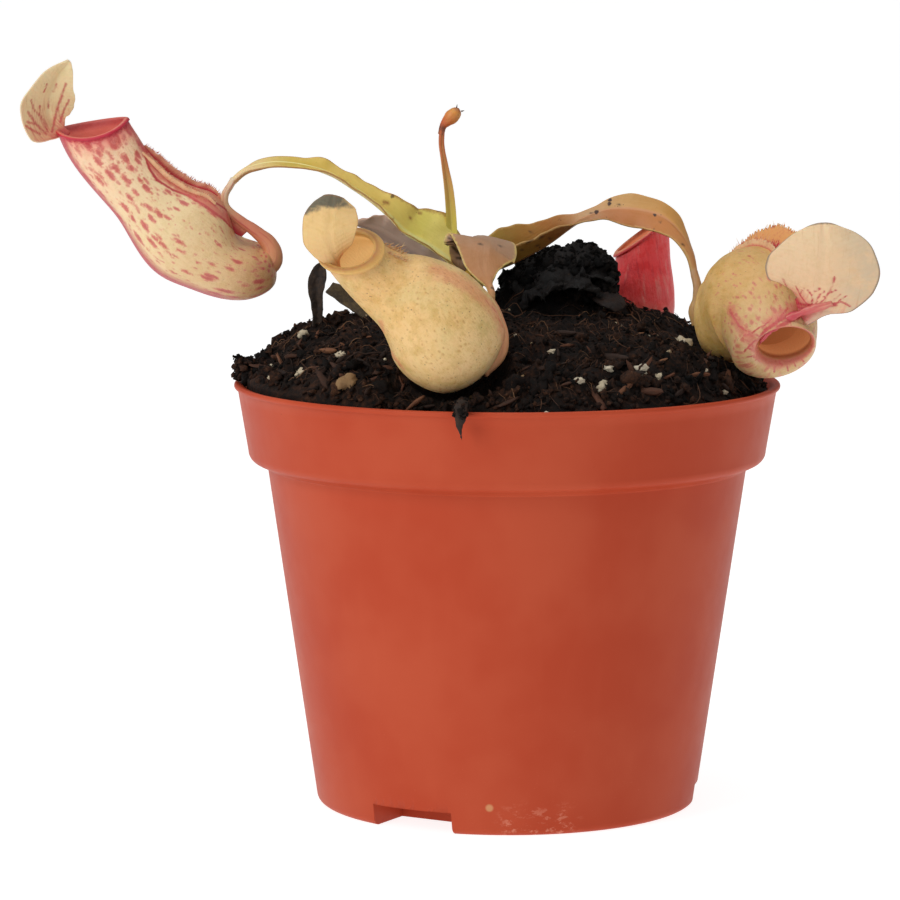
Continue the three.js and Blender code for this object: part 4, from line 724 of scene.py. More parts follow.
def tube_mesh(rings):
    """A closed body through rings, or many from many stacks, with quads across each end."""
    rows, sides = rings.shape[-3:-1]
    last = (rows - 1) * sides
    faces = np.vstack([grid_faces(rows, sides), cap_faces(sides, 0), cap_faces(sides, last, True)])
    points = rings.reshape(-1, 3)
    first = np.arange(0, len(points), rows * sides)
    return points, (first[:, None, None] + faces).reshape(-1, 4)


def angles(sides):
    return np.linspace(0, TURN, sides, endpoint=False)


def ring(r, z, sides):
    a = angles(sides)
    return np.stack([r * np.cos(a), r * np.sin(a), np.full(sides, z)], -1)


def lathe(outline, sides):
    return tube_mesh(np.stack([ring(r, z, sides) for r, z in outline]))


def spokes(one, other, sides):
    """Directions all round, between two that are square to each other."""
    a = angles(sides)[:, None]
    return one[..., None, :] * np.cos(a) + other[..., None, :] * np.sin(a)


def make(name, body, material, node=None):
    """A piece of the plant or pot. body holds points in millimetres, faces and values for the points."""
    points, faces, data = (*body, {})[:3]
    mesh = bpy.data.meshes.new(name)
    mesh.vertices.add(len(points))
    mesh.vertices.foreach_set("co", (np.asarray(points) * MM).ravel())
    mesh.loops.add(faces.size)
    mesh.loops.foreach_set("vertex_index", faces.ravel().astype(np.int32))
    mesh.polygons.add(len(faces))
    starts = np.arange(0, faces.size, faces.shape[1], dtype=np.int32)
    mesh.polygons.foreach_set("loop_start", starts)
    mesh.update(calc_edges=True)
    mesh.validate()
    for key, value in data.items():
        value = np.asarray(value, float)
        kind, field = ("FLOAT_VECTOR", "vector") if value.ndim == 2 else ("FLOAT", "value")
        mesh.attributes.new(key, kind, "POINT").data.foreach_set(field, value.ravel())
    work = bmesh.new()
    work.from_mesh(mesh)
    bmesh.ops.recalc_face_normals(work, faces=work.faces)
    work.to_mesh(mesh)
    work.free()
    mesh.polygons.foreach_set("use_smooth", [True] * len(mesh.polygons))
    mesh.materials.append(material)
    piece = bpy.data.objects.new(name, mesh)
    bpy.context.scene.collection.objects.link(piece)
    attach(piece, "root")
    if node:
        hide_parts(node)
    return piece


# Materials

def srgb(r, g, b):
    return tuple((c / 255 / 12.92 if c <= 10 else ((c / 255 + 0.055) / 1.055) ** 2.4)
                 for c in (r, g, b)) + (1.0,)


class Value:
    """A socket in a material. Arithmetic with it adds nodes."""

    def __init__(self, paint, socket):
        self.paint, self.socket = paint, socket

    def math(self, how, other=0.0):
        return self.paint.node("Math", {0: self, 1: other}, operation=how)

    def __add__(self, other):
        return self.math("ADD", other)

    def __sub__(self, other):
        return self.math("SUBTRACT", other)

    def __mul__(self, other):
        return self.math("MULTIPLY", other)

    def __abs__(self):
        return self.math("ABSOLUTE")


class Paint:
    """A node material. colour is what its layers have made so far."""

    def __init__(self, name, **settings):
        self.material = bpy.data.materials.new(name)
        self.material.use_nodes = True
        self.tree = self.material.node_tree
        self.shader = self.tree.nodes["Principled BSDF"]
        self.colour = None
        for key, value in settings.items():
            self.put(self.shader.inputs[key.replace("_", " ")], value)

    def put(self, socket, value):
        if isinstance(value, Value):
            self.tree.links.new(value.socket, socket)
        else:
            socket.default_value = value

    def node(self, kind, inputs, out=0, **settings):
        node = self.tree.nodes.new("ShaderNode" + kind)
        for key, value in settings.items():
            setattr(node, key, value)
        for key, value in inputs.items():
            self.put(node.inputs[key], value)
        return Value(self, node.outputs[out])

    def value(self, name):
        return self.node("Attribute", {}, 2, attribute_name=name)

    def scaled(self, vector, scale):
        return self.node("VectorMath", {0: vector, 1: scale}, operation="MULTIPLY")

    def flow(self, along=1, across=1):
        """The point on the unrolled surface in millimetres, stretched along and across it."""
        raw = self.node("Attribute", {}, 1, attribute_name="flow")
        return self.scaled(raw, (along, across, across))

    def place(self, scale=(1, 1, 1)):
        """The point on the part in millimetres, times scale."""
        return self.scaled(self.node("TexCoord", {}, 3), tuple(k / MM for k in scale))

    def distance(self, place, target):
        return self.node("VectorMath", {0: place, 1: target}, 1, operation="DISTANCE")

    def pushed(self, vector, shift, amount=1.0):
        """Moves a vector by a value, so that cells lose their even edges."""
        push = self.node("VectorMath", {0: (amount, amount, amount), 3: shift}, operation="SCALE")
        return self.node("VectorMath", {0: vector, 1: push}, operation="ADD")

    def noise(self, vector, size, detail=3, rough=0.55, seed=0.0):
        inputs = {"Vector": vector, "Scale": 1 / size, "Detail": detail, "Roughness": rough, "W": seed}
        return self.node("TexNoise", inputs, noise_dimensions="4D")

    def cells(self, vector, size, out=0):
        """The distance to the nearest of scattered points, or for out=1 that point's own colour."""
        return self.node("TexVoronoi", {"Vector": vector, "Scale": 1 / size, "Randomness": 1.0}, out)

    def span(self, value, low, high, to_low=0.0, to_high=1.0):
        """A soft step from low to high."""
        inputs = {"Value": value, "From Min": low, "From Max": high, "To Min": to_low, "To Max": to_high}
        return self.node("MapRange", inputs, interpolation_type="SMOOTHSTEP")

    def mix(self, amount, a, b):
        return self.node("Mix", {0: amount, 6: a, 7: b}, 2, data_type="RGBA")

    def ramp(self, value, stops):
        """Reads stops of (place, colour) or (place, level)."""
        node = self.tree.nodes.new("ShaderNodeValToRGB")
        while len(node.color_ramp.elements) < len(stops):
            node.color_ramp.elements.new(0.5)
        for element, (place, colour) in zip(node.color_ramp.elements, stops):
            element.position = place
            element.color = srgb(*colour) if isinstance(colour, tuple) else (colour,) * 3 + (1,)
        self.put(node.inputs[0], value)
        return Value(self, node.outputs[0])

    def lay(self, mask, rgb):
        """Lays a colour over the others where mask is high."""
        self.colour = self.mix(mask, self.colour, srgb(*rgb))

    def shade(self, mask, saturation, value):
        """Makes the colour stronger and darker, or weaker and lighter, where mask is high."""
        inputs = {"Saturation": saturation, "Value": value, "Color": self.colour}
        self.colour = self.mix(mask, self.colour, self.node("HueSaturation", inputs))

    def bump(self, height, depth, before=None):
        """Relief of the given depth in millimetres."""
        inputs = {"Distance": depth * MM, "Strength": 1.0, "Height": height}
        if before is not None:
            inputs["Normal"] = before
        return self.node("Bump", inputs)

    def finish(self, rough=None, normal=None):
        for key, value in (("Base Color", self.colour), ("Roughness", rough), ("Normal", normal)):
            if value is not None:
                self.put(self.shader.inputs[key], value)
        return self.material


# Paints of the pot and compost

def pot_paint():
    p = Paint("pot_plastic", Specular_IOR_Level=0.08)
    place = p.place()
    x, y, z = [p.node("SeparateXYZ", {0: place}, axis) for axis in range(3)]
    flow = p.noise(p.place((1, 1, 0.16)), 5, 4, 0.6)
    fine = p.noise(p.place((0.5, 0.5, 1)), 1.3, 5, 0.7)
    worn = p.noise(p.place((1, 1, 2.4)), 0.8, 4, 0.7, 4.0)
    p.colour = srgb(177, 68, 42)
    p.lay(p.span(p.noise(place, 30, 3), 0.35, 0.65), (184, 78, 51))
    p.lay(p.span(flow, 0.5, 0.8) * 0.07, (206, 98, 66))
    front_foot = p.span(z, 9, 2) * p.span(y, -30, -38)
    scuff = front_foot * (p.span(x, -4, 1) * p.span(x, 17, 11) * p.span(fine, 0.52, 0.62))
    p.lay(scuff * 0.5, (226, 150, 124))
    p.lay(p.span(worn, 0.63, 0.7) * p.span(z, 60, 4) * 0.16, (224, 140, 110))
    p.lay(p.span(p.distance(place, GATE), 1.1, 0.5), (200, 138, 96))
    specks = p.span(p.cells(place, 2.3), 0.075, 0.04)
    where = p.span(p.noise(place, 9, 2, 0.5, 2.0), 0.6, 0.7) * p.span(z, 70, 88)
    p.lay(specks * where * 0.8, (84, 44, 32))
    fine_relief = p.bump(p.noise(place, 0.5, 3), 0.012)
    return p.finish(p.noise(place, 3.5, 4) * 0.16 + 0.36,
                    p.bump(p.noise(place, 14, 2), 0.12, fine_relief))


def soil_paint(name, low=(4, 3, 2), middle=(22, 13, 9), high=(64, 40, 27), tinted=True, size=0.8):
    p = Paint(name, Specular_IOR_Level=0.16)
    place = p.place()
    grain = p.noise(place, size, 6, 0.72)
    value = grain * 0.78 + p.noise(place, 7, 3, 0.5, 3.0) * 0.34
    if tinted:
        value = value + (p.value("tint") - 0.5) * 0.26
    value = value - p.span(p.distance(place, BLACK_MASS), 22, 12, 0.0, 0.13)
    p.colour = p.ramp(value, [(0.4, low), (0.56, middle), (0.72, high), (0.86, (104, 72, 48))])
    strands = p.noise(p.place((0.3, 1, 1)), 0.4, 4, 0.7, 8.0)
    p.lay(p.span(strands, 0.62, 0.72) * 0.3, (84, 54, 37))
    relief = p.bump(p.noise(place, 0.35, 5, 0.7), 0.2)
    return p.finish(p.span(grain, 0.3, 0.8, 0.72, 0.98),
                    p.bump(p.noise(place, 1.2, 5, 0.68), 0.55, relief))


def chip_paint(name, stops, size=0.8, stretch=(1, 1, 1), rough=0.8, relief=0.2):
    """Bark, fibres and pebbles, coloured by each one's own tint."""
    p = Paint(name, Specular_IOR_Level=0.3)
    grain = p.noise(p.place(stretch), size, 6, 0.7)
    p.colour = p.ramp(p.value("tint") * 0.62 + grain * 0.4, stops)
    return p.finish(p.span(grain, 0.2, 0.8, rough - 0.12, rough + 0.12), p.bump(grain, relief))


# Paints of the plant

def leaf_paint(name, along, spots, edge=None, rib=None, second=None, marks_to=None, mottle=0.5):
    """A leaf. along holds colours from its foot to its tendril, second those of its other half."""
    p = Paint(name, Specular_IOR_Level=0.4, Subsurface_Weight=0.08, Subsurface_Scale=0.002)
    s, x, place = p.value("s"), p.value("x"), p.place()
    cloud = p.noise(place, 4.5, 4, 0.6)
    fine = p.noise(place, 0.7, 4, 0.65, 5.0)
    drift = s + (cloud - 0.5) * 0.16
    p.colour = p.ramp(drift, along)
    if second:
        p.colour = p.mix(p.span(x, -0.08, 0.1), p.colour, p.ramp(drift, second))
    p.shade(p.span(cloud, 0.4, 0.72) * mottle, 1.06, 0.82)
    veins = p.noise(p.flow(0.1), 0.55, 3, 0.6, 2.0)
    p.shade(p.span(veins, 0.5, 0.72) * 0.16, 0.9, 1.25)
    off = abs(x)
    if rib:
        p.lay(p.span(off, 0.13, 0.03) * rib[1], rib[0])
    if edge:
        p.lay(p.span(off + (fine - 0.5) * 0.25, edge[1], 1.0) * edge[2], edge[0])
    spot = p.span(p.cells(p.pushed(place, fine), 3.4), 0.2, 0.12)
    p.lay(spot * p.span(p.noise(place, 6, 2, 0.5, 7.0), 0.5, 0.56) * spots, (62, 34, 20))
    speck = p.span(p.cells(place, 1.3), 0.11, 0.05)
    p.lay(speck * p.span(p.noise(place, 5, 2, 0.5, 9.0), 0.52, 0.6) * spots, (70, 42, 24))
    # The drawn marks are scars, stains and dirt; on the front leaf two of them are a painted shadow
    if marks_to:
        p.lay(p.value("mark"), marks_to)
    p.lay(p.span(fine, 0.55, 0.75) * 0.14, (120, 88, 60))
    return p.finish(fine * 0.2 + 0.36, p.bump(veins, 0.1, p.bump(fine, 0.05)))


def pitcher_paint(name, along, lip, inside, glow, lip_from=None, flecks=(), specks=0.0, streaks=(),
                  back=None, front=None, rim=None, mark=None, haze=None, clouds=None, groove=None,
                  stain=0.0, core=(168, 46, 58)):
    """A pitcher, from its bulb up to its mouth."""
    p = Paint(name, Specular_IOR_Level=0.45, Subsurface_Weight=0.12, Subsurface_Scale=0.003)
    s, zone, place = p.value("s"), p.value("zone"), p.place()
    turned = p.value("ca")
    cloud = p.noise(place, 6, 4, 0.55)
    fine = p.noise(place, 0.6, 5, 0.65, 3.0)
    p.colour = p.ramp(s + (cloud - 0.5) * 0.12, along)
    if clouds:
        p.lay(p.span(cloud, 0.44, 0.66) * clouds[1], clouds[0])
    if stain:
        p.shade(p.span(p.noise(place, 2.6, 6, 0.7, 12.0), 0.46, 0.66) * stain, 1.08, 0.84)
        grit = p.span(p.cells(place, 1.1), 0.2, 0.07)
        p.lay(grit * p.span(p.noise(place, 3, 3, 0.6, 14.0), 0.46, 0.62) * stain, (128, 96, 56))
    fibre = p.noise(p.flow(0.09), 0.5, 4, 0.6, 1.0)
    p.shade(p.span(fibre, 0.45, 0.7) * 0.16, 1.15, 0.86)
    for rgb, size, low, high, much, seed in streaks:
        p.lay(p.span(p.noise(p.flow(0.12), size, 4, 0.65, seed), low, high) * much, rgb)
    for rgb, size, stretch, much, thickness in flecks:
        warped = p.pushed(p.flow(stretch), p.noise(p.flow(), 0.9, 3, 0.6, 6.0), 0.8)
        own = (p.cells(warped, size, out=1) - 0.5) * 0.36
        inward = p.ramp(s, thickness) + own - (p.cells(warped, size) + (fine - 0.5) * 0.4)
        p.lay(p.span(inward, -0.1, 0.16) * much, rgb)
        p.lay(p.span(inward, 0.06, 0.3) * (0.5 * much), core)
    if back:
        rgb, width, much = back
        near = p.span(turned + (fibre - 0.5) * 0.05, 1 - width, 1 - width * 0.3)
        p.lay(near * p.span(s, 0.06, 0.2) * much, rgb)
    if front:
        rgb, width, much = front
        near = p.span(turned + (fibre - 0.5) * 0.1, width - 1, width * 0.2 - 1)
        p.lay(near * p.span(s, 0.2, 0.36) * much, rgb)
    if mark:
        p.lay(p.span(p.value("mark") + (fine - 0.5) * 0.9, 0.2, 0.75) * mark[1], mark[0])
    if haze:
        ragged = p.noise(place, 1.6, 5, 0.65, 21.0)
        p.lay(p.span(p.value("haze") + (ragged - 0.5) * 1.5, 0.1, 0.9) * haze[1], haze[0])
    if rim:
        p.lay(p.span(s + (fine - 0.5) * 0.06, rim[1], 1.0) * rim[2], rim[0])
    if specks:
        some = p.span(p.noise(place, 5, 2, 0.5, 9.0) + s * -0.14, 0.42, 0.55)
        p.lay(p.span(p.cells(place, 1.7), 0.085, 0.045) * some * specks, (74, 50, 30))
    p.shade(p.span(p.noise(place, 2.0, 6, 0.75, 27.0), 0.46, 0.62) * 0.5, 1.12, 0.87)
    p.lay(p.span(fine, 0.55, 0.8) * 0.16, (150, 104, 66))
    q = p.value("q")
    lip_colour = p.ramp(q, lip)
    if groove:
        rgb, size, much = groove
        stripe = p.span(p.noise(p.place(), size, 5, 0.72, 4.0), 0.52, 0.6)
        where = p.span(p.noise(place, 3.2, 3, 0.6, 23.0), 0.42, 0.62)
        lip_colour = p.mix(stripe * where * much, lip_colour, srgb(*rgb))
    in_lip = p.span(q, *lip_from) if lip_from else p.span(zone, 0.1, 0.4)
    p.colour = p.mix(in_lip, p.colour, lip_colour)
    p.colour = p.mix(p.span(zone, 0.6, 0.95), p.colour, p.ramp(s, inside))
    # Painted light: the inside of the cup glows, as strong as glow, in place of light that shines through
    # the thin wall
    p.put(p.shader.inputs["Emission Color"], p.colour)
    p.put(p.shader.inputs["Emission Strength"], p.span(zone, 0.5, 0.95, 0.0, glow))
    relief = p.bump(p.noise(place, 1.4, 5, 0.7, 31.0), 0.3, p.bump(fine, 0.08))
    return p.finish(fine * 0.2 + 0.32, p.bump(fibre, 0.14, relief))


def fringe_paint(name, root, tip, line, band=(0.15, 0.6)):
    """A toothed wing, coloured from its root to its tip."""
    p = Paint(name, Specular_IOR_Level=0.4, Subsurface_Weight=0.15, Subsurface_Scale=0.002)
    fine = p.noise(p.place(), 0.7, 4, 0.6)
    p.colour = srgb(*root)
    p.lay(p.span(p.value("v") + (fine - 0.5) * 0.4, *band), tip)
    p.lay(p.span(fine, 0.5, 0.66) * 0.6, line)
    return p.finish(fine * 0.2 + 0.4, p.bump(fine, 0.08))


def rod_paint(name, along, streak, much):
    """A stem or tendril with streaks along it."""
    p = Paint(name, Specular_IOR_Level=0.4, Subsurface_Weight=0.1, Subsurface_Scale=0.002)
    fine = p.noise(p.place(), 0.8, 4, 0.6)
    p.colour = p.ramp(p.value("s") + (fine - 0.5) * 0.14, along)
    lines = p.noise(p.flow(0.1, 1.6), 0.9, 3, 0.6, 2.0)
    p.lay(p.span(lines, 0.5, 0.7) * much, streak)
    return p.finish(fine * 0.2 + 0.35, p.bump(lines, 0.1))


def lid_paint(name, along, veins, reach, much, edge=None, patch=None, specks=0.5, grey=None, mark=None):
    """A lid, with veins that fade out at reach along it."""
    p = Paint(name, Specular_IOR_Level=0.35, Subsurface_Weight=0.15, Subsurface_Scale=0.002)
    s, x, place = p.value("s"), p.value("x"), p.place()
    cloud = p.noise(place, 4, 4, 0.6)
    fine = p.noise(place, 0.6, 5, 0.65, 3.0)
    drift = s + (cloud - 0.5) * 0.2
    p.colour = p.ramp(drift, along)
    p.shade(p.span(p.noise(place, 2.2, 6, 0.7, 12.0), 0.46, 0.64) * 0.45, 1.1, 0.88)
    if grey:
        rgb, start, end, share = grey
        p.lay(p.span(x, start, end) * p.span(cloud, 0.3, 0.6) * share, rgb)
    lines = p.noise(p.flow(0.13), 0.8, 4, 0.65, 2.0)
    fade = p.span(drift - (lines - 0.5) * 0.9, reach, 0.0)
    p.lay(fade * p.span(lines, 0.46, 0.58) * much, veins)
    p.lay(p.span(lines, 0.55, 0.68) * 0.2, (196, 150, 100))
    if mark:
        p.lay(p.span(p.value("mark") + (fine - 0.5) * 1.4, 0.1, 0.95) * mark[1], mark[0])
    some = p.span(p.noise(place, 4, 2, 0.5, 9.0), 0.5, 0.6)
    p.lay(p.span(p.cells(place, 1.5), 0.09, 0.05) * some * specks, (110, 74, 44))
    if patch:
        rgb, start, share = patch
        p.lay(p.span(s - x * 0.1 + (cloud - 0.5) * 0.3, start, start + 0.07) * share, rgb)
    if edge:
        rim = p.span(abs(x), 0.955, 0.99).math("MAXIMUM", p.span(s, 0.975, 0.995))
        p.lay(rim * edge[1], edge[0])
    return p.finish(fine * 0.2 + 0.4, p.bump(lines, 0.12, p.bump(fine, 0.06)))


def dead_paint(name, low, high):
    """A withered leaf or a strand of peat."""
    p = Paint(name, Specular_IOR_Level=0.35)
    place = p.place()
    grain = p.noise(place, 1.8, 6, 0.68)
    p.colour = srgb(*low)
    p.lay(p.span(grain, 0.35, 0.7), high)
    strands = p.noise(p.place((1, 1, 0.25)), 0.5, 4, 0.7, 8.0)
    p.lay(p.span(strands, 0.6, 0.72) * 0.4, (104, 78, 56))
    return p.finish(p.span(grain, 0.3, 0.7, 0.6, 0.95), p.bump(p.noise(place, 0.7, 5, 0.7), 0.35))


# Plant shapes

def rod_points(spine, radius, steps=60, sides=20, rough=0.0, seed=0, tip=True):
    """A round rod. Returns its points, faces and data."""
    path = Path(spine)
    s = np.linspace(0, 1, steps)
    centre, _, up, side = frames(path, [(0, ROD_FACE), (1, ROD_FACE)], s)
    r = values(radius, s)
    if tip:
        r = r * np.sqrt(np.clip((1 - s) / 0.04, 0.02, 1))
    out = spokes(up, side, sides)
    rings = centre[:, None] + out * r[:, None, None]
    if rough:
        rings = rings + out * (rough * fractal(rings, 1.6, 3, seed))[..., None]
    along, a = np.repeat(s, sides), np.tile(angles(sides), steps)
    flow = np.stack([along * path.length, np.cos(a), np.sin(a)], -1)
    return *tube_mesh(rings), dict(s=along, flow=flow)


def blade_points(shape, steps=150, across=33, relief=None, edge=0.45, rough=0.0, seed=0):
    """A thin leaf along its midrib. Returns its points, faces and data."""
    path = Path(shape["spine"])
    s = np.linspace(0, 1, steps)
    centre, tangent, up, side = frames(path, shape["face"], s)
    x = np.sin(np.linspace(-0.5, 0.5, across) * math.pi)
    x = np.sign(x) * np.abs(x) ** 0.9
    upper = np.repeat([1.0, -1.0], across)
    S, X = np.meshgrid(s, np.concatenate([x, x[::-1]]), indexing="ij")
    left = X < 0

    def read(key, default=0):
        return values(shape.get(key, default), S)

    half = np.where(left, read("left"), read("right"))
    fold = np.radians(np.where(left, read("fold_left"), read("fold_right")))
    reach = np.sqrt(X * X + 0.01) - 0.1
    beat = np.sin(TURN * shape.get("waves", 5) * S + np.where(left, 0.9, 2.6))
    ripple = read("wave") * X**2 * beat + 0.5 * read("wave") * X**4 * np.sin(TURN * 13 * S + X)
    roundness = read("round")
    flat = 1 - (1 - edge) * np.abs(X) ** 5 * (1 - roundness)
    thick = read("thickness", BLADE_THICKNESS) / 2 * flat
    lift = thick * np.sqrt(np.clip(1 - roundness * 0.98 * X * X, 0.01, 1)) * upper
    if relief:
        lift = lift + relief(S, X, path.length, half)
    points = (centre[:, None] + side[:, None] * (half * X * np.cos(fold))[..., None]
              + up[:, None] * (half * reach * np.sin(fold) + ripple + lift)[..., None]
              - tangent[:, None] * (read("lobes") * X * X)[..., None])
    if rough:
        points = points + rough * np.stack([fractal(points, 3.2, 4, seed + k) for k in range(3)], -1)
    flow = np.stack([S * path.length, half * X, np.zeros_like(S)], -1).reshape(-1, 3)
    return *tube_mesh(points), dict(s=S.ravel(), x=X.ravel(), flow=flow)


def veined(depth=0.12, angle=1.2, gap=2.2, midrib=0.3):
    """Relief with a sunk midrib and slanted side veins."""
    def relief(S, X, length, half):
        veins = np.sin(TURN * (S * length - angle * np.abs(X) * half) / gap) ** 2
        fade = smooth(np.abs(X) / 0.25) * (1 - smooth((np.abs(X) - 0.8) / 0.2))
        wide = smooth((half - 1.2) / 2)
        return wide * (depth * (veins - 0.5) * fade - midrib * np.exp(-(X / 0.09) ** 2))
    return relief


def facing(A):
    """1 where a pitcher's front is, at half a turn, and 0 at its back."""
    return (1 - np.cos(A)) / 2


def cup_points(cup, S, A, more=0.0, ahead=0.0):
    """Points on a pitcher at places S along its axis and angles A, where 0 is its back."""
    s = S[:, 0]
    centre, tangent, up, side = frames(Path(cup["spine"]), cup["front"], s)
    end = cup["end"]
    ball = np.sqrt(np.clip(1 - (1 - np.clip(s / end, 0, 1)) ** 2, 0.0006, 1))
    soft = 0.03
    fit = np.minimum(end + soft * np.logaddexp(0, (s - end) / soft), 1)
    deep = (values(cup["deep"], fit) * ball)[:, None]
    deep = deep * (1 - values(cup.get("waist", 0), s)[:, None] * facing(A) ** 2) + more
    wide = (values(cup["wide"], fit) * ball)[:, None] + more
    lean = (cup["lean"] * smooth((s - 0.55) / 0.45))[:, None]
    dip = (cup.get("dip", 0) * smooth((s - 0.6) / 0.4))[:, None] * np.maximum(-np.sin(A), 0) ** 1.5
    return (centre[:, None] - up[:, None] * (deep * np.cos(A))[..., None]
            + side[:, None] * (wide * np.sin(A))[..., None]
            + tangent[:, None] * (lean * deep * np.cos(A) + ahead - dip)[..., None])


def relax(rings, passes, first, last):
    """Evens rings out along a piece, so that they don't fold on the inside of a bend."""
    i = np.arange(len(rings))
    weight = (np.clip((i - first) / 12, 0, 1) * np.clip((len(rings) - 1 - i) / last, 0, 1))[1:-1]
    for _ in range(passes):
        shift = 0.5 * weight[:, None, None] * ((rings[:-2] + rings[2:]) / 2 - rings[1:-1])
        rings = np.concatenate([rings[:1], rings[1:-1] + shift, rings[-1:]])
    return rings


def cup_mesh(cup, dents=0.12, seed=0, keel=0.0):
    """A hollow pitcher: its outer wall, its lip and its inner wall in one closed skin."""
    end, jaw = cup["end"], cup.get("jaw", 0)
    a = angles(CUP_SIDES)
    u = np.linspace(0, 1, BULB_RINGS, endpoint=False)
    s_out = np.concatenate([end * (1 - np.cos(u * math.pi / 2)), np.linspace(end, 1, WALL_RINGS)])
    S, A = np.meshgrid(s_out, a, indexing="ij")
    shift = dents * fractal(cup_points(cup, S, A), 5, 3, seed) * (1 - smooth((S - 0.9) / 0.1))
    shift = shift + keel * np.exp(-(np.sin(A / 2) / 0.09) ** 2) * smooth((S - 0.1) / 0.2)
    shift = shift + jaw * smooth((S - 0.5) / 0.46) * facing(A) ** 1.6
    skin = relax(cup_points(cup, S, A, shift), 30, 16, 8)
    Q, AL = np.meshgrid(np.linspace(0, 1, LIP_RINGS + 1)[1:], a, indexing="ij")
    share, offset, height, drop = np.moveaxis(values(LIP, Q), -1, 0)
    flare = cup["lip"] + cup.get("lip_drop", 0) * facing(AL) ** 2.6
    chin = jaw * facing(AL) ** 1.6
    fold = smooth((Q - 0.02) / 0.84) ** 1.3
    swell = 0.36 * chin * np.sin(math.pi * np.clip(Q / 0.86, 0, 1)) ** 0.7
    lip = cup_points(cup, np.ones_like(Q), AL, share * flare + offset + chin * (1 - fold),
                     cup.get("lip_tall", 1) * height - 0.12 * drop * flare + swell)
    SI, AI = np.meshgrid(np.linspace(1, cup["well_foot"], WELL_RINGS + 1)[1:], a, indexing="ij")
    well = relax(cup_points(cup, SI, AI, -CUP_WALL), 6, -12, 4)
    s = np.concatenate([S, np.ones_like(Q), SI]).ravel()
    turned = np.concatenate([A, AL, AI]).ravel()
    zone = np.repeat([0, 0.5, 1], [S.size, Q.size, SI.size])
    q = np.concatenate([np.zeros(S.size), Q.ravel(), np.ones(SI.size)])
    r = values(cup["wide"], s)
    on_lip = q * (zone == 0.5) * (2 + jaw * facing(turned) ** 1.6)
    along = s * Path(cup["spine"]).length + on_lip
    flow = np.stack([along, r * np.sin(turned), r * np.cos(turned)], -1)
    data = dict(s=s, ca=np.cos(turned), zone=zone, q=q, flow=flow)
    return *tube_mesh(np.concatenate([skin, lip, well])), data


def wing_line(cup, wing, t):
    """Places along a pitcher for t along its wing, and the wing's height there."""
    s = wing["start"] + (wing["end"] - wing["start"]) * t
    return s, wing["height"] * np.sin(math.pi * np.clip(0.04 + 0.92 * t, 0, 1)) ** 0.6


def on_wing(cup, wing, s, out):
    """Points of a wing's line that lie out from the cup's wall."""
    a = np.full((len(s), 1), math.radians(wing["angle"]))
    return cup_points(cup, s[:, None], a, out[:, None])[:, 0]


def wing_mesh(cup, wing, seed=0):
    """A thin toothed wing down a pitcher."""
    teeth = wing["teeth"] * wing.get("finer", 2)
    steps = teeth * WING_STEPS_PER_TOOTH + 1
    t = np.linspace(0, 1, steps)
    s, rise = wing_line(cup, wing, t)
    jitter = np.random.default_rng(seed).uniform(0.6, 1.25, teeth + 1)
    phase = t * teeth
    saw = 1 - np.abs(2 * (phase - np.floor(phase)) - 1)
    deep = wing.get("cut", 0.26)
    uneven = 0.12 * fractal(np.stack([t * 40, t * 0, t * 0], -1), 3, 2, seed)
    edge = rise * (1 - deep + deep * saw**1.6 * jitter[phase.astype(int)]) + uneven
    root = on_wing(cup, wing, s, np.full(steps, -0.5))
    out = on_wing(cup, wing, s, edge) - root
    across = unit(np.cross(Path(cup["spine"]).tangent(s), out))
    levels = np.linspace(0, 1, WING_LEVELS)
    rows = []
    for side in (1, -1):
        for v in levels[::side]:
            half = side * WING_THICKNESS / 2 * (1 - 0.55 * v)
            sway = 0.16 * v * np.sin(TURN * 5.3 * t + seed)
            rows.append(root + out * v + across * (half + sway)[:, None])
    v = np.tile(np.concatenate([levels, levels[::-1]]), steps)
    return *tube_mesh(np.stack(rows, 1)), dict(v=v)


def spikes(roots, ways, lengths, radius, seed=0):
    """Fine tapered hairs from root points. Returns their points, faces and data."""
    n = len(roots)
    pick = np.random.default_rng(seed)
    ways = unit(ways)
    other = unit(np.cross(ways, pick.normal(size=(n, 3))))
    out = spokes(other, np.cross(ways, other), HAIR_SIDES)
    bend = pick.normal(size=(n, 1)) * 0.25
    rings = []
    for t in np.linspace(0, 1, HAIR_ROWS):
        middle = roots + ways * (lengths * t)[:, None] + other * bend * (lengths * t * t)[:, None]
        rings.append(middle[:, None] + (radius * (1 - 0.85 * t))[:, None, None] * out)
    v = np.tile(np.repeat(np.linspace(0, 1, HAIR_ROWS), HAIR_SIDES), n)
    return *tube_mesh(np.stack(rings, 1)), dict(v=v)


def bristles(name, cup, wing, count, length, radius, material, slot, node, seed):
    """Hairs along the edge of a wing."""
    pick = np.random.default_rng(seed)
    s, rise = wing_line(cup, wing, (np.arange(count) + pick.uniform(0.1, 0.9, count)) / count)
    root = on_wing(cup, wing, s, np.zeros(count))
    out = on_wing(cup, wing, s, rise) - root
    way = unit(out) + 0.28 * pick.normal(size=(count, 3))
    lengths = length * pick.uniform(0.5, 1.15, count)
    hairs = spikes(root + out * 0.8, way, lengths, radius * pick.uniform(0.7, 1.2, count), seed)
    make(name, hairs, material, node)


# Grains: crumbs, bark and perlite

def ball(subdivisions):
    work = bmesh.new()
    bmesh.ops.create_icosphere(work, subdivisions=subdivisions, radius=1)
    points = np.array([v.co[:] for v in work.verts])
    faces = np.array([[v.index for v in f.verts] for f in work.faces])
    work.free()
    return points, faces


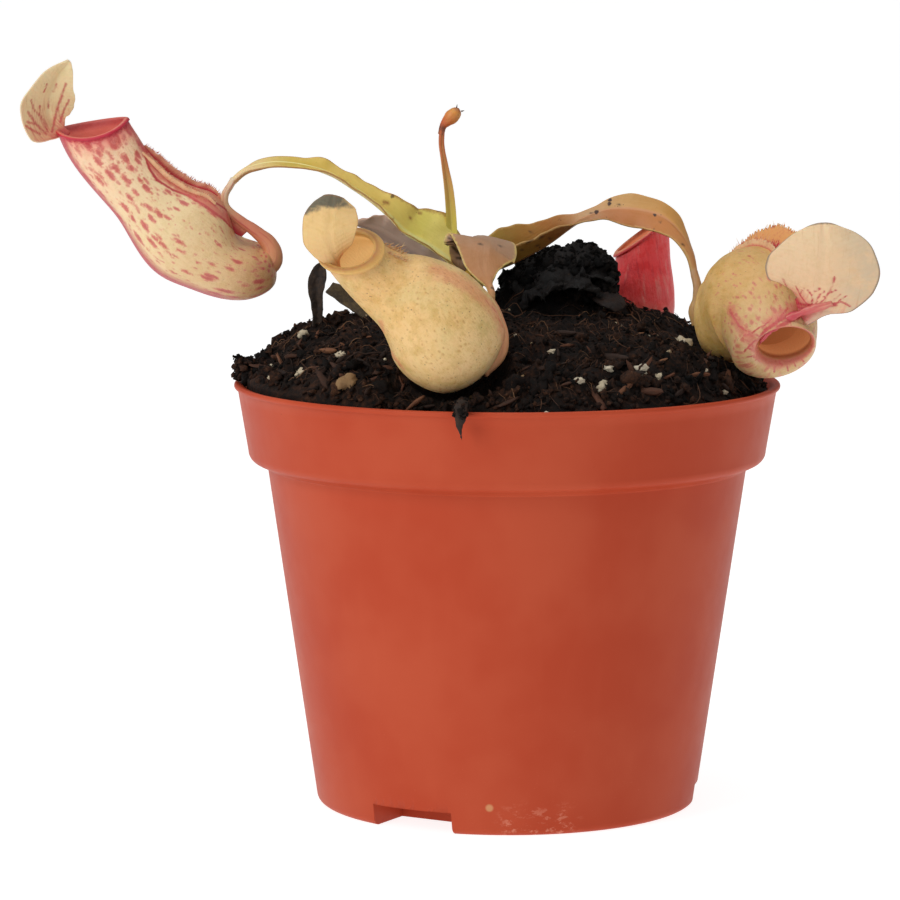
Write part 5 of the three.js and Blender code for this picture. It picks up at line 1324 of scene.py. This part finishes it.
def turns(n, pick):
    """Random rotations."""
    q = pick.normal(size=(n, 4))
    w, x, y, z = unit(q).T
    return np.stack([
        np.stack([1 - 2 * (y * y + z * z), 2 * (x * y - z * w), 2 * (x * z + y * w)], -1),
        np.stack([2 * (x * y + z * w), 1 - 2 * (x * x + z * z), 2 * (y * z - x * w)], -1),
        np.stack([2 * (x * z - y * w), 2 * (y * z + x * w), 1 - 2 * (x * x + y * y)], -1),
    ], 1)


def grains(centres, sizes, subdivisions, lumpy, turn=None, seed=0):
    """Lumps of the given half sizes at centres. Returns their points, faces and data."""
    pick = np.random.default_rng(seed)
    base, faces = ball(subdivisions)
    n = len(centres)
    turn = turns(n, pick) if turn is None else turn
    shift = pick.uniform(0, 90, (n, 1, 3))
    bulge = 1 + lumpy * (noise(base * 1.4 + shift, 5) + 0.6 * noise(base * 3.1 + shift, 9)
                         - 0.5 * np.abs(noise(base * 2.2 + shift, 7)))
    body = base * bulge[..., None] * sizes[:, None]
    points = np.einsum("nij,nkj->nki", turn, body) + centres[:, None]
    all_faces = (np.arange(n)[:, None, None] * len(base) + faces).reshape(-1, 3)
    tint = np.repeat(pick.uniform(0, 1, n), len(base))
    return points.reshape(-1, 3), all_faces, dict(tint=tint)


def spread(pick, count, small, large, power=2):
    """Random sizes from small to large, with more small ones for a higher power."""
    return small + (large - small) * pick.uniform(0, 1, count) ** power


# The compost

def pressed_hollows():
    """Balls along the pitchers that lie on the compost: a centre and a radius each."""
    hollows = []
    for cup in (PITCHER_FRONT, PITCHER_RIGHT, PITCHER_REAR):
        path = Path(cup["spine"])
        for i in range(14):
            s = np.array([0.02 + 0.8 * i / 13])
            radius = max(values(cup["deep"], s)[0], values(cup["wide"], s)[0]) + 2 * GAP
            hollows.append((path.at(s)[0], radius))
    return hollows


PRESSED = pressed_hollows()


def soil_height(x, y):
    """Height of the compost at x and y, with its rough relief."""
    depth = SOIL_RADIUS - np.hypot(x, y)
    z = SOIL_EDGE + SOIL_LEFT_RISE * np.maximum(0, -x / SOIL_RADIUS) ** 2
    z = z + SOIL_RISE * (1 - np.exp(-depth / SOIL_FALL_LENGTH))
    for heap_x, heap_y, height, wide in HEAPS:
        z = z + height * np.exp(-((x - heap_x) ** 2 + (y - heap_y) ** 2) / wide**2)
    inner = np.clip(depth / 5, 0, 1)
    z = z + inner * 0.7 * np.sin(0.52 * x + 1.3) * np.sin(0.6 * y + 0.4)
    z = z + inner * 0.5 * np.sin(0.95 * x - 0.7 * y + 2)
    p = np.stack([x, y, np.zeros_like(x)], -1)
    rough = (0.95 * fractal(p, 5.2, 3, 3) + 0.6 * np.abs(fractal(p, 1.9, 3, 11))
             + 0.3 * fractal(p, 0.9, 2, 17) - 0.5)
    z = z + (0.25 + 0.75 * inner) * rough
    for centre, radius in PRESSED:
        d2 = (x - centre[0]) ** 2 + (y - centre[1]) ** 2
        floor = centre[2] - np.sqrt(np.maximum(radius**2 - d2, 0)) - GAP
        z = np.where((d2 < radius**2) & (floor < z), floor, z)
    return z


def clear_of_plant(points, more):
    """True where points stay out of the pitchers that lie on the compost."""
    ok = np.ones(len(points), bool)
    for centre, radius in PRESSED:
        ok &= np.linalg.norm(points - centre, axis=1) > radius - 0.4 + more
    return ok


def soil_body(material):
    band_foot = POT_HEIGHT - BAND_DEPTH
    floor = NOTCH_HEIGHT + WALL + GAP
    wall = [
        (2, floor), (FOOT_RADIUS - WALL - GAP, floor),
        (FOOT_RADIUS - WALL + 0.6 - GAP, POT_FLOOR + 6.5),
        (SHOULDER_RADIUS - WALL - GAP, band_foot - 0.4 + GAP),
        (BAND_FOOT_RADIUS - WALL - GAP, band_foot + 1.2 + GAP), (SOIL_RADIUS - 0.6, SOIL_EDGE - 1.6),
    ]
    rings = [ring(r, z, SOIL_SIDES) for r, z in wall]
    for t in np.linspace(0, 1, SOIL_RINGS):
        top = ring(max((SOIL_RADIUS - 0.5) * (1 - t) ** 0.92, 0.6), 0.0, SOIL_SIDES)
        top[:, 2] = soil_height(top[:, 0], top[:, 1])
        rings.append(top)
    make("compost", tube_mesh(np.stack(rings)), material, "soil")


def scatter(count, seed, outer=SCATTER_RADIUS):
    """Even random places on the compost. Returns x and y."""
    pick = np.random.default_rng(seed)
    r = np.sqrt(pick.uniform(0, outer**2, count))
    a = pick.uniform(0, TURN, count)
    return r * np.cos(a), r * np.sin(a)


def crumbs(name, count, small, large, material, seed, subdivisions, bury, lumpy, shape, power=2.6):
    """Lumps strewn over the compost, sunk into it by a share of their size."""
    pick = np.random.default_rng(seed)
    x, y = scatter(count, seed)
    size = spread(pick, count, small, large, power)
    in_pot = np.hypot(x, y) + size < GRAIN_RADIUS
    x, y, size = x[in_pot], y[in_pot], size[in_pot]
    centres = np.stack([x, y, soil_height(x, y) + bury * size], -1)
    keep = clear_of_plant(centres, size * 1.05)
    centres, size = centres[keep], size[keep]
    sizes = size[:, None] * np.array(shape) * pick.uniform(0.75, 1.2, (len(size), 3))
    make(name, grains(centres, sizes, subdivisions, lumpy, seed=seed), material)


def fibres(name, count, material, seed, length, radius, rows=9, rise=0.9):
    """Thin bent roots and peat fibres that lie on the compost."""
    pick = np.random.default_rng(seed)
    x, y = scatter(count, seed, 56)
    way = pick.uniform(0, TURN, count)
    turn = pick.normal(size=count) * 0.22
    step = pick.uniform(*length, count) / (rows - 1)
    thick = pick.uniform(*radius, count)
    lift = pick.uniform(0, rise, count)
    line = []
    for k in range(rows):
        z = soil_height(x, y) + 0.2 + lift * math.sin(math.pi * k / (rows - 1)) + thick
        line.append(np.stack([x, y, z], -1))
        x = x + step * np.cos(way + turn * k)
        y = y + step * np.sin(way + turn * k)
    line = np.stack(line, 1)
    keep = np.hypot(line[..., 0], line[..., 1]).max(1) < 58
    for k in range(rows):
        keep &= clear_of_plant(line[:, k], 0.4)
    line, thick = line[keep], thick[keep]
    tangent = unit(np.gradient(line, axis=1))
    side = unit(np.cross(tangent, (0, 0, 1.0)))
    taper = 1 - 0.75 * np.abs(np.linspace(-1, 1, rows)) ** 3
    out = spokes(side, np.cross(side, tangent), HAIR_SIDES)
    rings = line[:, :, None] + (thick[:, None] * taper)[..., None, None] * out
    tint = np.repeat(pick.uniform(0, 1, len(line)), rows * HAIR_SIDES)
    make(name, (*tube_mesh(rings), dict(tint=tint)), material)


def placed(name, rows, material, lumpy, seed):
    """Single lumps at places of their own."""
    x, y, turn, tint = np.array(rows, float)[:, [0, 1, 5, 6]].T
    sizes = np.array(rows, float)[:, 2:5]
    c, s = np.cos(np.radians(turn)), np.sin(np.radians(turn))
    zero, one = np.zeros_like(c), np.ones_like(c)
    matrix = np.stack([c, -s, zero, s, c, zero, zero, zero, one], -1).reshape(-1, 3, 3)
    centres = np.stack([x, y, soil_height(x, y) + 0.35 * sizes[:, 2]], -1)
    points, faces, _ = grains(centres, sizes, 3, lumpy, matrix, seed)
    tint = np.repeat(tint, len(points) // len(rows))
    make(name, (points, faces, dict(tint=tint)), material)


def spill(name, count, middle, reach, small, large, material, seed):
    """Crumbs heaped on the pot's rim."""
    pick = np.random.default_rng(seed)
    centres = np.array(middle) + np.array(reach) * pick.uniform(-1, 1, (count, 3))
    sizes = spread(pick, count, small, large)[:, None] * pick.uniform(0.55, 1.15, (count, 3))
    make(name, grains(centres, sizes, 1, 0.7, seed=seed), material)


def crusted(name, points, count, small, large, material, node, seed, sink=0.0):
    """Crumbs that stick to a piece, or fill the room under it down to the compost."""
    pick = np.random.default_rng(seed)
    centres = points[pick.choice(len(points), count)]
    if sink:
        ground = soil_height(centres[:, 0], centres[:, 1])
        centres[:, 2] += (ground - centres[:, 2]) * (sink * pick.uniform(0, 1, count))
    sizes = spread(pick, count, small, large)[:, None] * pick.uniform(0.6, 1.1, (count, 3))
    make(name, grains(centres, sizes, 1, 0.7, seed=seed), material, node)


# The pot

def pot_outline():
    """Radius and height round the pot's section, and the part of it that its foot takes up."""
    band_foot = POT_HEIGHT - BAND_DEPTH
    shoulder = band_foot - SHOULDER_DROP

    def arc(cx, cz, r, start, end, n):
        return [(cx + r * math.cos(math.radians(start + (end - start) * i / n)),
                 cz + r * math.sin(math.radians(start + (end - start) * i / n)))
                for i in range(n + 1)]

    def line(a, b, n):
        return [(a[0] + (b[0] - a[0]) * i / n, a[1] + (b[1] - a[1]) * i / n) for i in range(1, n)]

    foot = arc(FOOT_RADIUS - FOOT_ROUND, FOOT_ROUND, FOOT_ROUND, -90, -8, 8)
    turn = arc(SHOULDER_RADIUS + SHOULDER_ROUND, shoulder + 0.2, SHOULDER_ROUND, 180, 96, 4)
    lower = arc(BAND_FOOT_RADIUS - BAND_FOOT_ROUND, band_foot + 2.2, BAND_FOOT_ROUND, -90, 0, 14)
    lip = arc(LIP_RADIUS - LIP_ROUND, POT_HEIGHT - 0.66, LIP_ROUND, -70, 90, 10)
    top = (BAND_TOP_RADIUS, POT_HEIGHT - LIP_HEIGHT)
    inside = [(BAND_TOP_RADIUS - WALL, POT_HEIGHT - 0.4),
              (BAND_FOOT_RADIUS - WALL, band_foot + 1.2), (SHOULDER_RADIUS - WALL, band_foot - 0.4),
              (FOOT_RADIUS - WALL + 0.6, POT_FLOOR + 6), (FOOT_RADIUS - WALL - 1.2, POT_FLOOR)]
    side = line(foot[-1], turn[0], 24)
    outline = ([(AXIS_RADIUS, 0)] + line((0, 0), foot[0], 8) + foot + side + turn + lower
               + line(lower[-1], top, 6) + [top] + lip + inside + [(AXIS_RADIUS, POT_FLOOR)])
    return outline, foot[1:] + side[:5]


def cutter(name, points, faces):
    mesh = bpy.data.meshes.new(name)
    mesh.from_pydata((np.asarray(points) * MM).tolist(), [], np.asarray(faces).tolist())
    piece = bpy.data.objects.new(name, mesh)
    bpy.context.scene.collection.objects.link(piece)
    return piece


def notch_block(degrees, more):
    """The room of a notch in the foot, larger all round by more."""
    outer = FOOT_RADIUS + CUTTER_REACH
    depth = NOTCH_DEPTH + CUTTER_REACH + more
    c, s = math.cos(math.radians(degrees)), math.sin(math.radians(degrees))
    corners = [(x, y, z) for x in (outer - depth, outer)
               for y in (-NOTCH_WIDTH / 2 - more, NOTCH_WIDTH / 2 + more)
               for z in (-2, NOTCH_HEIGHT + more)]
    points = [(x * c - y * s, x * s + y * c, z) for x, y, z in corners]
    faces = [(0, 1, 3, 2), (4, 6, 7, 5), (0, 4, 5, 1), (2, 3, 7, 6), (0, 2, 6, 4), (1, 5, 7, 3)]
    return points, faces


def boolean(piece, other, how):
    tool = piece.modifiers.new(how, "BOOLEAN")
    tool.operation = how
    tool.solver = "EXACT"
    tool.object = other
    with bpy.context.temp_override(object=piece, active_object=piece):
        bpy.ops.object.modifier_apply(modifier=tool.name)
    bpy.data.objects.remove(other)


def pot_body(material):
    """The pot, turned from its outline, with three notches and drain holes in its foot."""
    outline, foot = pot_outline()
    pot = make("pot_shell", lathe(outline, POT_SIDES), material, "pot")
    for degrees in NOTCH_DEGREES:
        filled = [(AXIS_RADIUS, 0.02)] + foot + [(AXIS_RADIUS, foot[-1][1])]
        hull = cutter("hull", *lathe(filled, POT_SIDES))
        boolean(hull, cutter("shell", *notch_block(degrees, WALL)), "INTERSECT")
        boolean(pot, hull, "UNION")
    for degrees in NOTCH_DEGREES:
        boolean(pot, cutter("room", *notch_block(degrees, 0)), "DIFFERENCE")
        ends = [(DRAIN_RADIUS, NOTCH_HEIGHT - 2), (DRAIN_RADIUS, NOTCH_HEIGHT + 4)]
        points, faces = lathe(ends, DRAIN_SIDES)
        middle = FOOT_RADIUS - NOTCH_DEPTH / 2 - DRAIN_INSET
        way = (math.cos(math.radians(degrees)), math.sin(math.radians(degrees)), 0)
        boolean(pot, cutter("drain", points + middle * np.array(way), faces), "DIFFERENCE")


# Lines drawn where the camera sees them

def marks(points, faces, lines):
    """How strongly each point carries a drawn line, laid on the surface that its pixels show."""
    tree = BVHTree.FromPolygons(points.tolist(), faces.tolist())
    amount = np.zeros(len(points))
    for width, pixels in lines:
        gap = np.full(len(points), 1e9)
        for (u0, v0), (u1, v1) in zip(pixels, pixels[1:]):
            for t in np.linspace(0, 1, 12):
                u, v = u0 + (u1 - u0) * t - IMAGE / 2, IMAGE / 2 - (v0 + (v1 - v0) * t)
                way = FORWARD + np.array([1.0, 0, 0]) * u / FOCAL + UPWARD * v / FOCAL
                hit = tree.ray_cast(Vector(EYE), Vector(unit(way)))[0]
                if hit is not None:
                    gap = np.minimum(gap, ((points - np.array(hit)) ** 2).sum(1))
        amount = np.maximum(amount, np.exp(-gap / width**2))
    return amount


def draw(body, **drawn):
    """Gives a body's points a value for each set of lines that is drawn on it."""
    points, faces, data = body
    for key, lines in drawn.items():
        if lines:
            data[key] = marks(points, faces, lines)


# Makers of the plant's pieces

def leaf(name, shape, node, slot, material, lines=(), **options):
    body = blade_points(shape, **options)
    draw(body, mark=lines)
    make(name, body, material, node)


def rod(name, spine, radius, node, slot, material, **options):
    make(name, rod_points(spine, radius, **options), material, node)


def rooted(spine, more=1.5):
    """A tendril's line, started a little earlier so that it grows out of its leaf."""
    a, b = np.array(spine[0], float), np.array(spine[1], float)
    return [tuple(a - (b - a) / np.linalg.norm(b - a) * more)] + list(spine)


def pitcher(name, cup, node, slot, paint, tendril, wings, lines=(), haze=(), hairs=None, **options):
    body = cup_mesh(cup, **options)
    draw(body, mark=lines, haze=haze)
    make(name + "_cup", body, paint, node)
    line = cup["tendril"]
    rod(name + "_tendril", rooted(line["spine"]), line["radius"], node, slot, tendril, steps=80,
        sides=24, rough=0.05, tip=False)
    for i, (wing, wing_paint) in enumerate(zip(cup["wings"], wings)):
        make(f"{name}_wing_{i}", wing_mesh(cup, wing, i + 3), wing_paint, node)
        if hairs:
            bristles(f"{name}_hairs_{i}", cup, wing, *hairs, wing_paint, slot, node, i + 60)


def web(name, low, high, material, node, thick=0.8, steps=40, levels=9):
    """A thin closed sheet between two lines."""
    t, v = np.linspace(0, 1, steps), np.linspace(0, 1, levels)
    a, b = Path(low).at(t), Path(high).at(t)
    sheet = a[:, None] + (b - a)[:, None] * v[None, :, None]
    half = thick / 2 * np.sqrt(np.clip(np.sin(math.pi * (0.08 + 0.84 * t)), 0, 1))[:, None]
    front, back = sheet.copy(), sheet[:, ::-1].copy()
    front[..., 1] -= half
    back[..., 1] += half
    data = dict(v=np.tile(np.concatenate([v, v[::-1]]), steps))
    make(name, (*tube_mesh(np.concatenate([front, back], 1)), data), material, node)


# The pot and the compost

pot_body(pot_paint())
soil_body(soil_paint("peat", tinted=False, size=1.3))
crumb = soil_paint("peat_crumbs")
bark = chip_paint("bark", BARK_COLOURS, 0.7, (0.4, 1, 1))
pebble = chip_paint("perlite", PEBBLE_COLOURS, rough=0.85, relief=0.3)
root_paint = chip_paint("fibres", FIBRE_COLOURS)
# Name, count, smallest and largest half size, paint, seed, fineness, share sunk, lumpiness, proportions
crumbs("crumbs_fine", 4600, 0.3, 0.95, crumb, 21, 1, 0.3, 0.8, (1, 0.85, 0.7))
crumbs("crumbs_middle", 900, 0.6, 1.9, crumb, 22, 2, 0.2, 0.95, (1, 0.8, 0.62), 2.4)
crumbs("clods", 80, 1.6, 3.2, crumb, 23, 3, -0.05, 0.6, (1, 0.9, 0.75))
crumbs("bark_chips", 380, 0.5, 2.4, bark, 24, 2, 0.3, 0.4, (1.6, 0.42, 0.22))
crumbs("perlite_grains", 70, 0.3, 0.85, pebble, 25, 2, 0.35, 0.4, (1, 0.9, 0.85))
# Name, count, paint, seed, least and greatest length and radius, then rings and rise if not the usual
fibres("fibres", 420, root_paint, 26, (3, 9), (0.05, 0.13))
fibres("long_fibres", 50, root_paint, 27, (8, 16), (0.08, 0.2))
fibres("short_fibres", 1150, root_paint, 28, (1.2, 4.5), (0.03, 0.075), 5, 0.7)
# Name, count, middle, reach on each axis, smallest and largest half size, paint, seed
spill("left_spill", 240, (-57.4, -1, 97), (2.4, 5, 2.1), 0.4, 1.4, crumb, 34)
spill("left_spill_edge", 70, (-59.6, -1, 97.6), (1.2, 3, 2.4), 0.3, 0.9, crumb, 35)
placed("stones", STONES, pebble, 0.55, 31)
placed("sticks", STICKS, bark, 0.22, 32)

# Stem, leaves and bud

rod("stem_core", STEM["spine"], STEM["radius"], "stem", "stem",
    rod_paint("stem_bark", STEM_COLOURS, (60, 38, 24), 0.6), rough=0.25, seed=4, tip=False)
# Name, shape, node, slot, settings, lines, options of the mesh
LEAVES = [
    ("left_leaf", LEAF_LEFT, "leaf_left", "leaf", LEFT_LEAF_PAINT, LEFT_LEAF_MARKS,
     dict(steps=150, relief=veined(0.05, midrib=0.25))),
    ("young_leaf", LEAF_YOUNG, "leaf_young", "leaf", YOUNG_LEAF_PAINT, (),
     dict(steps=80, across=17, relief=veined(0.05, midrib=0.2))),
    ("front_leaf", LEAF_FRONT, "leaf_front", "leaf_mauve", FRONT_LEAF_PAINT, FRONT_LEAF_DIRT_AND_SHADOW,
     dict(steps=120, across=29, relief=veined(0.08))),
    ("right_leaf", LEAF_RIGHT, "leaf_right", "leaf_old", RIGHT_LEAF_PAINT, RIGHT_LEAF_MARKS,
     dict(steps=150, relief=veined())),
    ("behind_leaf", LEAF_BEHIND, "leaf_behind", "leaf_mauve", BEHIND_LEAF_PAINT, (),
     dict(steps=70, across=25, relief=veined(0.08))),
    ("rear_leaf", LEAF_REAR, "leaf_rear", "leaf", REAR_LEAF_PAINT, (),
     dict(steps=80, across=25, relief=veined())),
    ("basal_leaf", LEAF_BASAL, "leaf_basal", "leaf", BASAL_LEAF_PAINT, (),
     dict(steps=70, across=25, relief=veined(0.06))),
]
for name, shape, node, slot, colours, lines, options in LEAVES:
    leaf(name, shape, node, slot, leaf_paint(name, **colours), lines, **options)
rod("young_bud", BUD["spine"], BUD["radius"], "bud", "leaf_old",
    rod_paint("young_bud", BUD_COLOURS, (176, 84, 52), 0.35), sides=24, rough=0.05, seed=3)
spurs = spikes(np.array([(-11.3, 0.8, 154.2), (-10.2, 0.8, 153.9)]),
               np.array([(0.2, 0, 1), (1, 0, 0.35)]), np.array([1.3, 0.75]), np.array([0.26, 0.22]), 4)
make("bud_spurs", spurs, dead_paint("bud_spurs", (70, 48, 36), (112, 82, 62)), "bud")

# Pitchers

red_fringe = fringe_paint("red_fringe", (184, 50, 60), (212, 150, 116), (190, 84, 76), (0.35, 0.8))
pale_fringe = fringe_paint("pale_fringe", (206, 104, 90), (222, 180, 136), (200, 124, 94))
cream_fringe = fringe_paint("cream_fringe", (208, 156, 104), (206, 166, 118), (176, 124, 84))
orange_fringe = fringe_paint("orange_fringe", (186, 40, 58), (222, 160, 98), (210, 130, 88),
                             (0.32, 0.46))
pitcher("left_pitcher", PITCHER_LEFT, "pitcher_left", "pitcher_speckled",
        pitcher_paint("left_pitcher", **LEFT_PITCHER_PAINT),
        rod_paint("left_tendril", LEFT_TENDRIL_COLOURS, (178, 54, 60), 0.7), [red_fringe, pale_fringe],
        LEFT_CUP_LINES, LEFT_CUP_HAZE, hairs=(46, 0.7, 0.12), dents=0.14, seed=2, keel=0.2)
web("left_pitcher_web", WEB_LOW, WEB_HIGH,
    fringe_paint("left_web", (184, 50, 60), (208, 130, 98), (184, 60, 64)),
    "pitcher_left")
pitcher("front_pitcher", PITCHER_FRONT, "pitcher_front", "pitcher_cream",
        pitcher_paint("front_pitcher", **FRONT_PITCHER_PAINT),
        rod_paint("front_tendril", FRONT_TENDRIL_COLOURS, (196, 110, 84), 0.3), [cream_fringe] * 2,
        FRONT_CUP_LINES, FRONT_CUP_HAZE, hairs=(7, 1.9, 0.2), dents=0.2, seed=5)
pitcher("right_pitcher", PITCHER_RIGHT, "pitcher_right", "pitcher_cream",
        pitcher_paint("right_pitcher", **RIGHT_PITCHER_PAINT),
        rod_paint("right_tendril", RIGHT_TENDRIL_COLOURS, (176, 120, 80), 0.3),
        [orange_fringe, pale_fringe], RIGHT_CUP_LINES, RIGHT_CUP_HAZE, hairs=(42, 1.6, 0.1), dents=0.2,
        seed=8)
rod("right_pitcher_ridge", RIDGE["spine"], RIDGE["radius"], "pitcher_right", "pitcher_cream",
    rod_paint("right_ridge", RIDGE_COLOURS, (222, 158, 136), 0.8), steps=70, rough=0.3, seed=9)
pitcher("rear_pitcher", PITCHER_REAR, "pitcher_rear", "pitcher_red",
        pitcher_paint("rear_pitcher", **REAR_PITCHER_PAINT),
        rod_paint("rear_tendril", REAR_TENDRIL_COLOURS, (160, 60, 60), 0.5), [red_fringe] * 2,
        hairs=(20, 0.6, 0.1), dents=0.2, seed=11)

# Lids

# Name, shape, node, slot, settings, lines, steps along and across, slant of the veins
LIDS = [
    ("left_lid", LID_LEFT, "lid_left", "lid", LEFT_LID_PAINT, LEFT_LID_LINES, 130, 45, 0.6),
    ("front_lid", LID_FRONT, "lid_front", "lid", FRONT_LID_PAINT, (), 90, 33, 0.5),
    ("right_lid", LID_RIGHT, "lid_right", "lid", RIGHT_LID_PAINT, RIGHT_LID_LINES, 140, 65, 0.4),
    ("rear_lid", LID_REAR, "lid_rear", "pitcher_red", REAR_LID_PAINT, (), 60, 21, 0.5),
]
for name, shape, node, slot, colours, lines, steps, across, vein_angle in LIDS:
    leaf(name, shape, node, slot, lid_paint(name, **colours), lines, steps=steps, across=across,
         relief=veined(0.1, vein_angle), edge=0.6)

# Withered leaves and the strand of peat

BLACK_LEAF = dict(steps=120, across=37, rough=1.0, seed=41, edge=0.7)
leaf("black_leaf", WITHERED_BLACK, "withered_black", "withered",
     dead_paint("black_leaf", (7, 5, 5), (26, 19, 15)), **BLACK_LEAF)
black_points = blade_points(WITHERED_BLACK, **BLACK_LEAF)[0]
black_crumb = soil_paint("black_crumbs", (4, 3, 3), (13, 9, 7), (38, 26, 19))
for name, count, small, large, seed, sink in [("black_crust", 1700, 0.2, 0.9, 51, 0.0),
                                              ("black_filling", 1500, 0.6, 1.7, 52, 1.0)]:
    crusted(name, black_points, count, small, large, black_crumb, "withered_black", seed,
            sink)
for i, (shift, narrow) in enumerate([((0.6, -3.4, -2.6), 0.9), ((-0.8, -5.6, -5.2), 0.82),
                                     ((1.5, 2.5, -1.4), 0.9)]):
    points, faces, data = blade_points(WITHERED_BLACK, steps=84, across=25, rough=1.5,
                                       seed=61 + 7 * i, edge=0.7)
    middle = points.mean(0)
    body = (middle + (points - middle) * (narrow, 0.8, 0.9) + shift, faces, data)
    make(f"black_fold_{i}", body, dead_paint(f"black_fold_{i}", (6, 4, 4), (19, 12, 9)),
         "withered_black")
# Name, shape, low and high colour, steps, roughness, seed
WITHERED = [
    ("oval_leaf", WITHERED_OVAL, (22, 14, 11), (48, 32, 24), 70, 0.2, 43),
    ("upright_leaf", WITHERED_UPRIGHT, (30, 22, 18), (74, 58, 46), 90, 0.25, 44),
    ("olive_leaf", WITHERED_OLIVE, (58, 46, 32), (104, 88, 62), 70, 0.2, 45),
]
for name, shape, low, high, steps, rough, seed in WITHERED:
    leaf(name, shape, "withered_" + name.removesuffix("_leaf"), "withered",
         dead_paint(name, low, high), steps=steps, rough=rough, seed=seed)
strand = rod_points(PEAT_STRAND["spine"], PEAT_STRAND["radius"], 90, 20, 0.3, 6)
crusted("strand_crumbs", strand[0][:1100], 150, 0.2, 0.75, crumb, "peat_strand", 53)
make("strand", strand, dead_paint("strand", (20, 13, 10), (56, 38, 27)), "peat_strand")

# Floor, light and camera

scene = bpy.context.scene
bpy.ops.mesh.primitive_plane_add(size=FLOOR_SIZE, location=(0, 0, 0))
floor = bpy.context.object
floor.name = "floor"
floor_paint = Paint("floor_paint", Roughness=0.7, Emission_Color=(1, 1, 1, 1),
                    Emission_Strength=FLOOR_GLOW)
floor_paint.colour = srgb(*[FLOOR_GREY] * 3)
floor.data.materials.append(floor_paint.finish())
floor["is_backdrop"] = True

world = bpy.data.worlds.new("studio")
scene.world = world
world.use_nodes = True
sky = world.node_tree.nodes["Background"]
sky.inputs[0].default_value = (1, 1, 1, 1)
seen = world.node_tree.nodes.new("ShaderNodeLightPath")
level = world.node_tree.nodes.new("ShaderNodeMapRange")
level.inputs["To Min"].default_value = SKY_LIGHT
level.inputs["To Max"].default_value = SKY_SEEN
world.node_tree.links.new(seen.outputs["Is Camera Ray"], level.inputs["Value"])
world.node_tree.links.new(level.outputs[0], sky.inputs[1])

for name, place, target, size, power in LAMPS:
    lamp = bpy.data.lights.new(name, "AREA")
    lamp.shape = "RECTANGLE"
    lamp.size, lamp.size_y = size
    lamp.energy = power
    piece = bpy.data.objects.new(name, lamp)
    piece.location = place
    piece.rotation_euler = (Vector(target) - Vector(place)).to_track_quat("-Z", "Y").to_euler()
    scene.collection.objects.link(piece)

camera = bpy.data.cameras.new("camera")
camera.sensor_width = SENSOR
camera.lens = FOCAL / IMAGE * SENSOR
camera.clip_end = 80
eye = bpy.data.objects.new("camera", camera)
eye.location = EYE * MM
eye.rotation_euler = (math.pi / 2 - PITCH, 0, 0)
scene.collection.objects.link(eye)
scene.camera = eye
scene.view_settings.view_transform = "Standard"
scene.view_settings.look = "None"

size = dict(cad=[list(v) for v in cad_box], visual=[list(v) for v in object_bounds()])
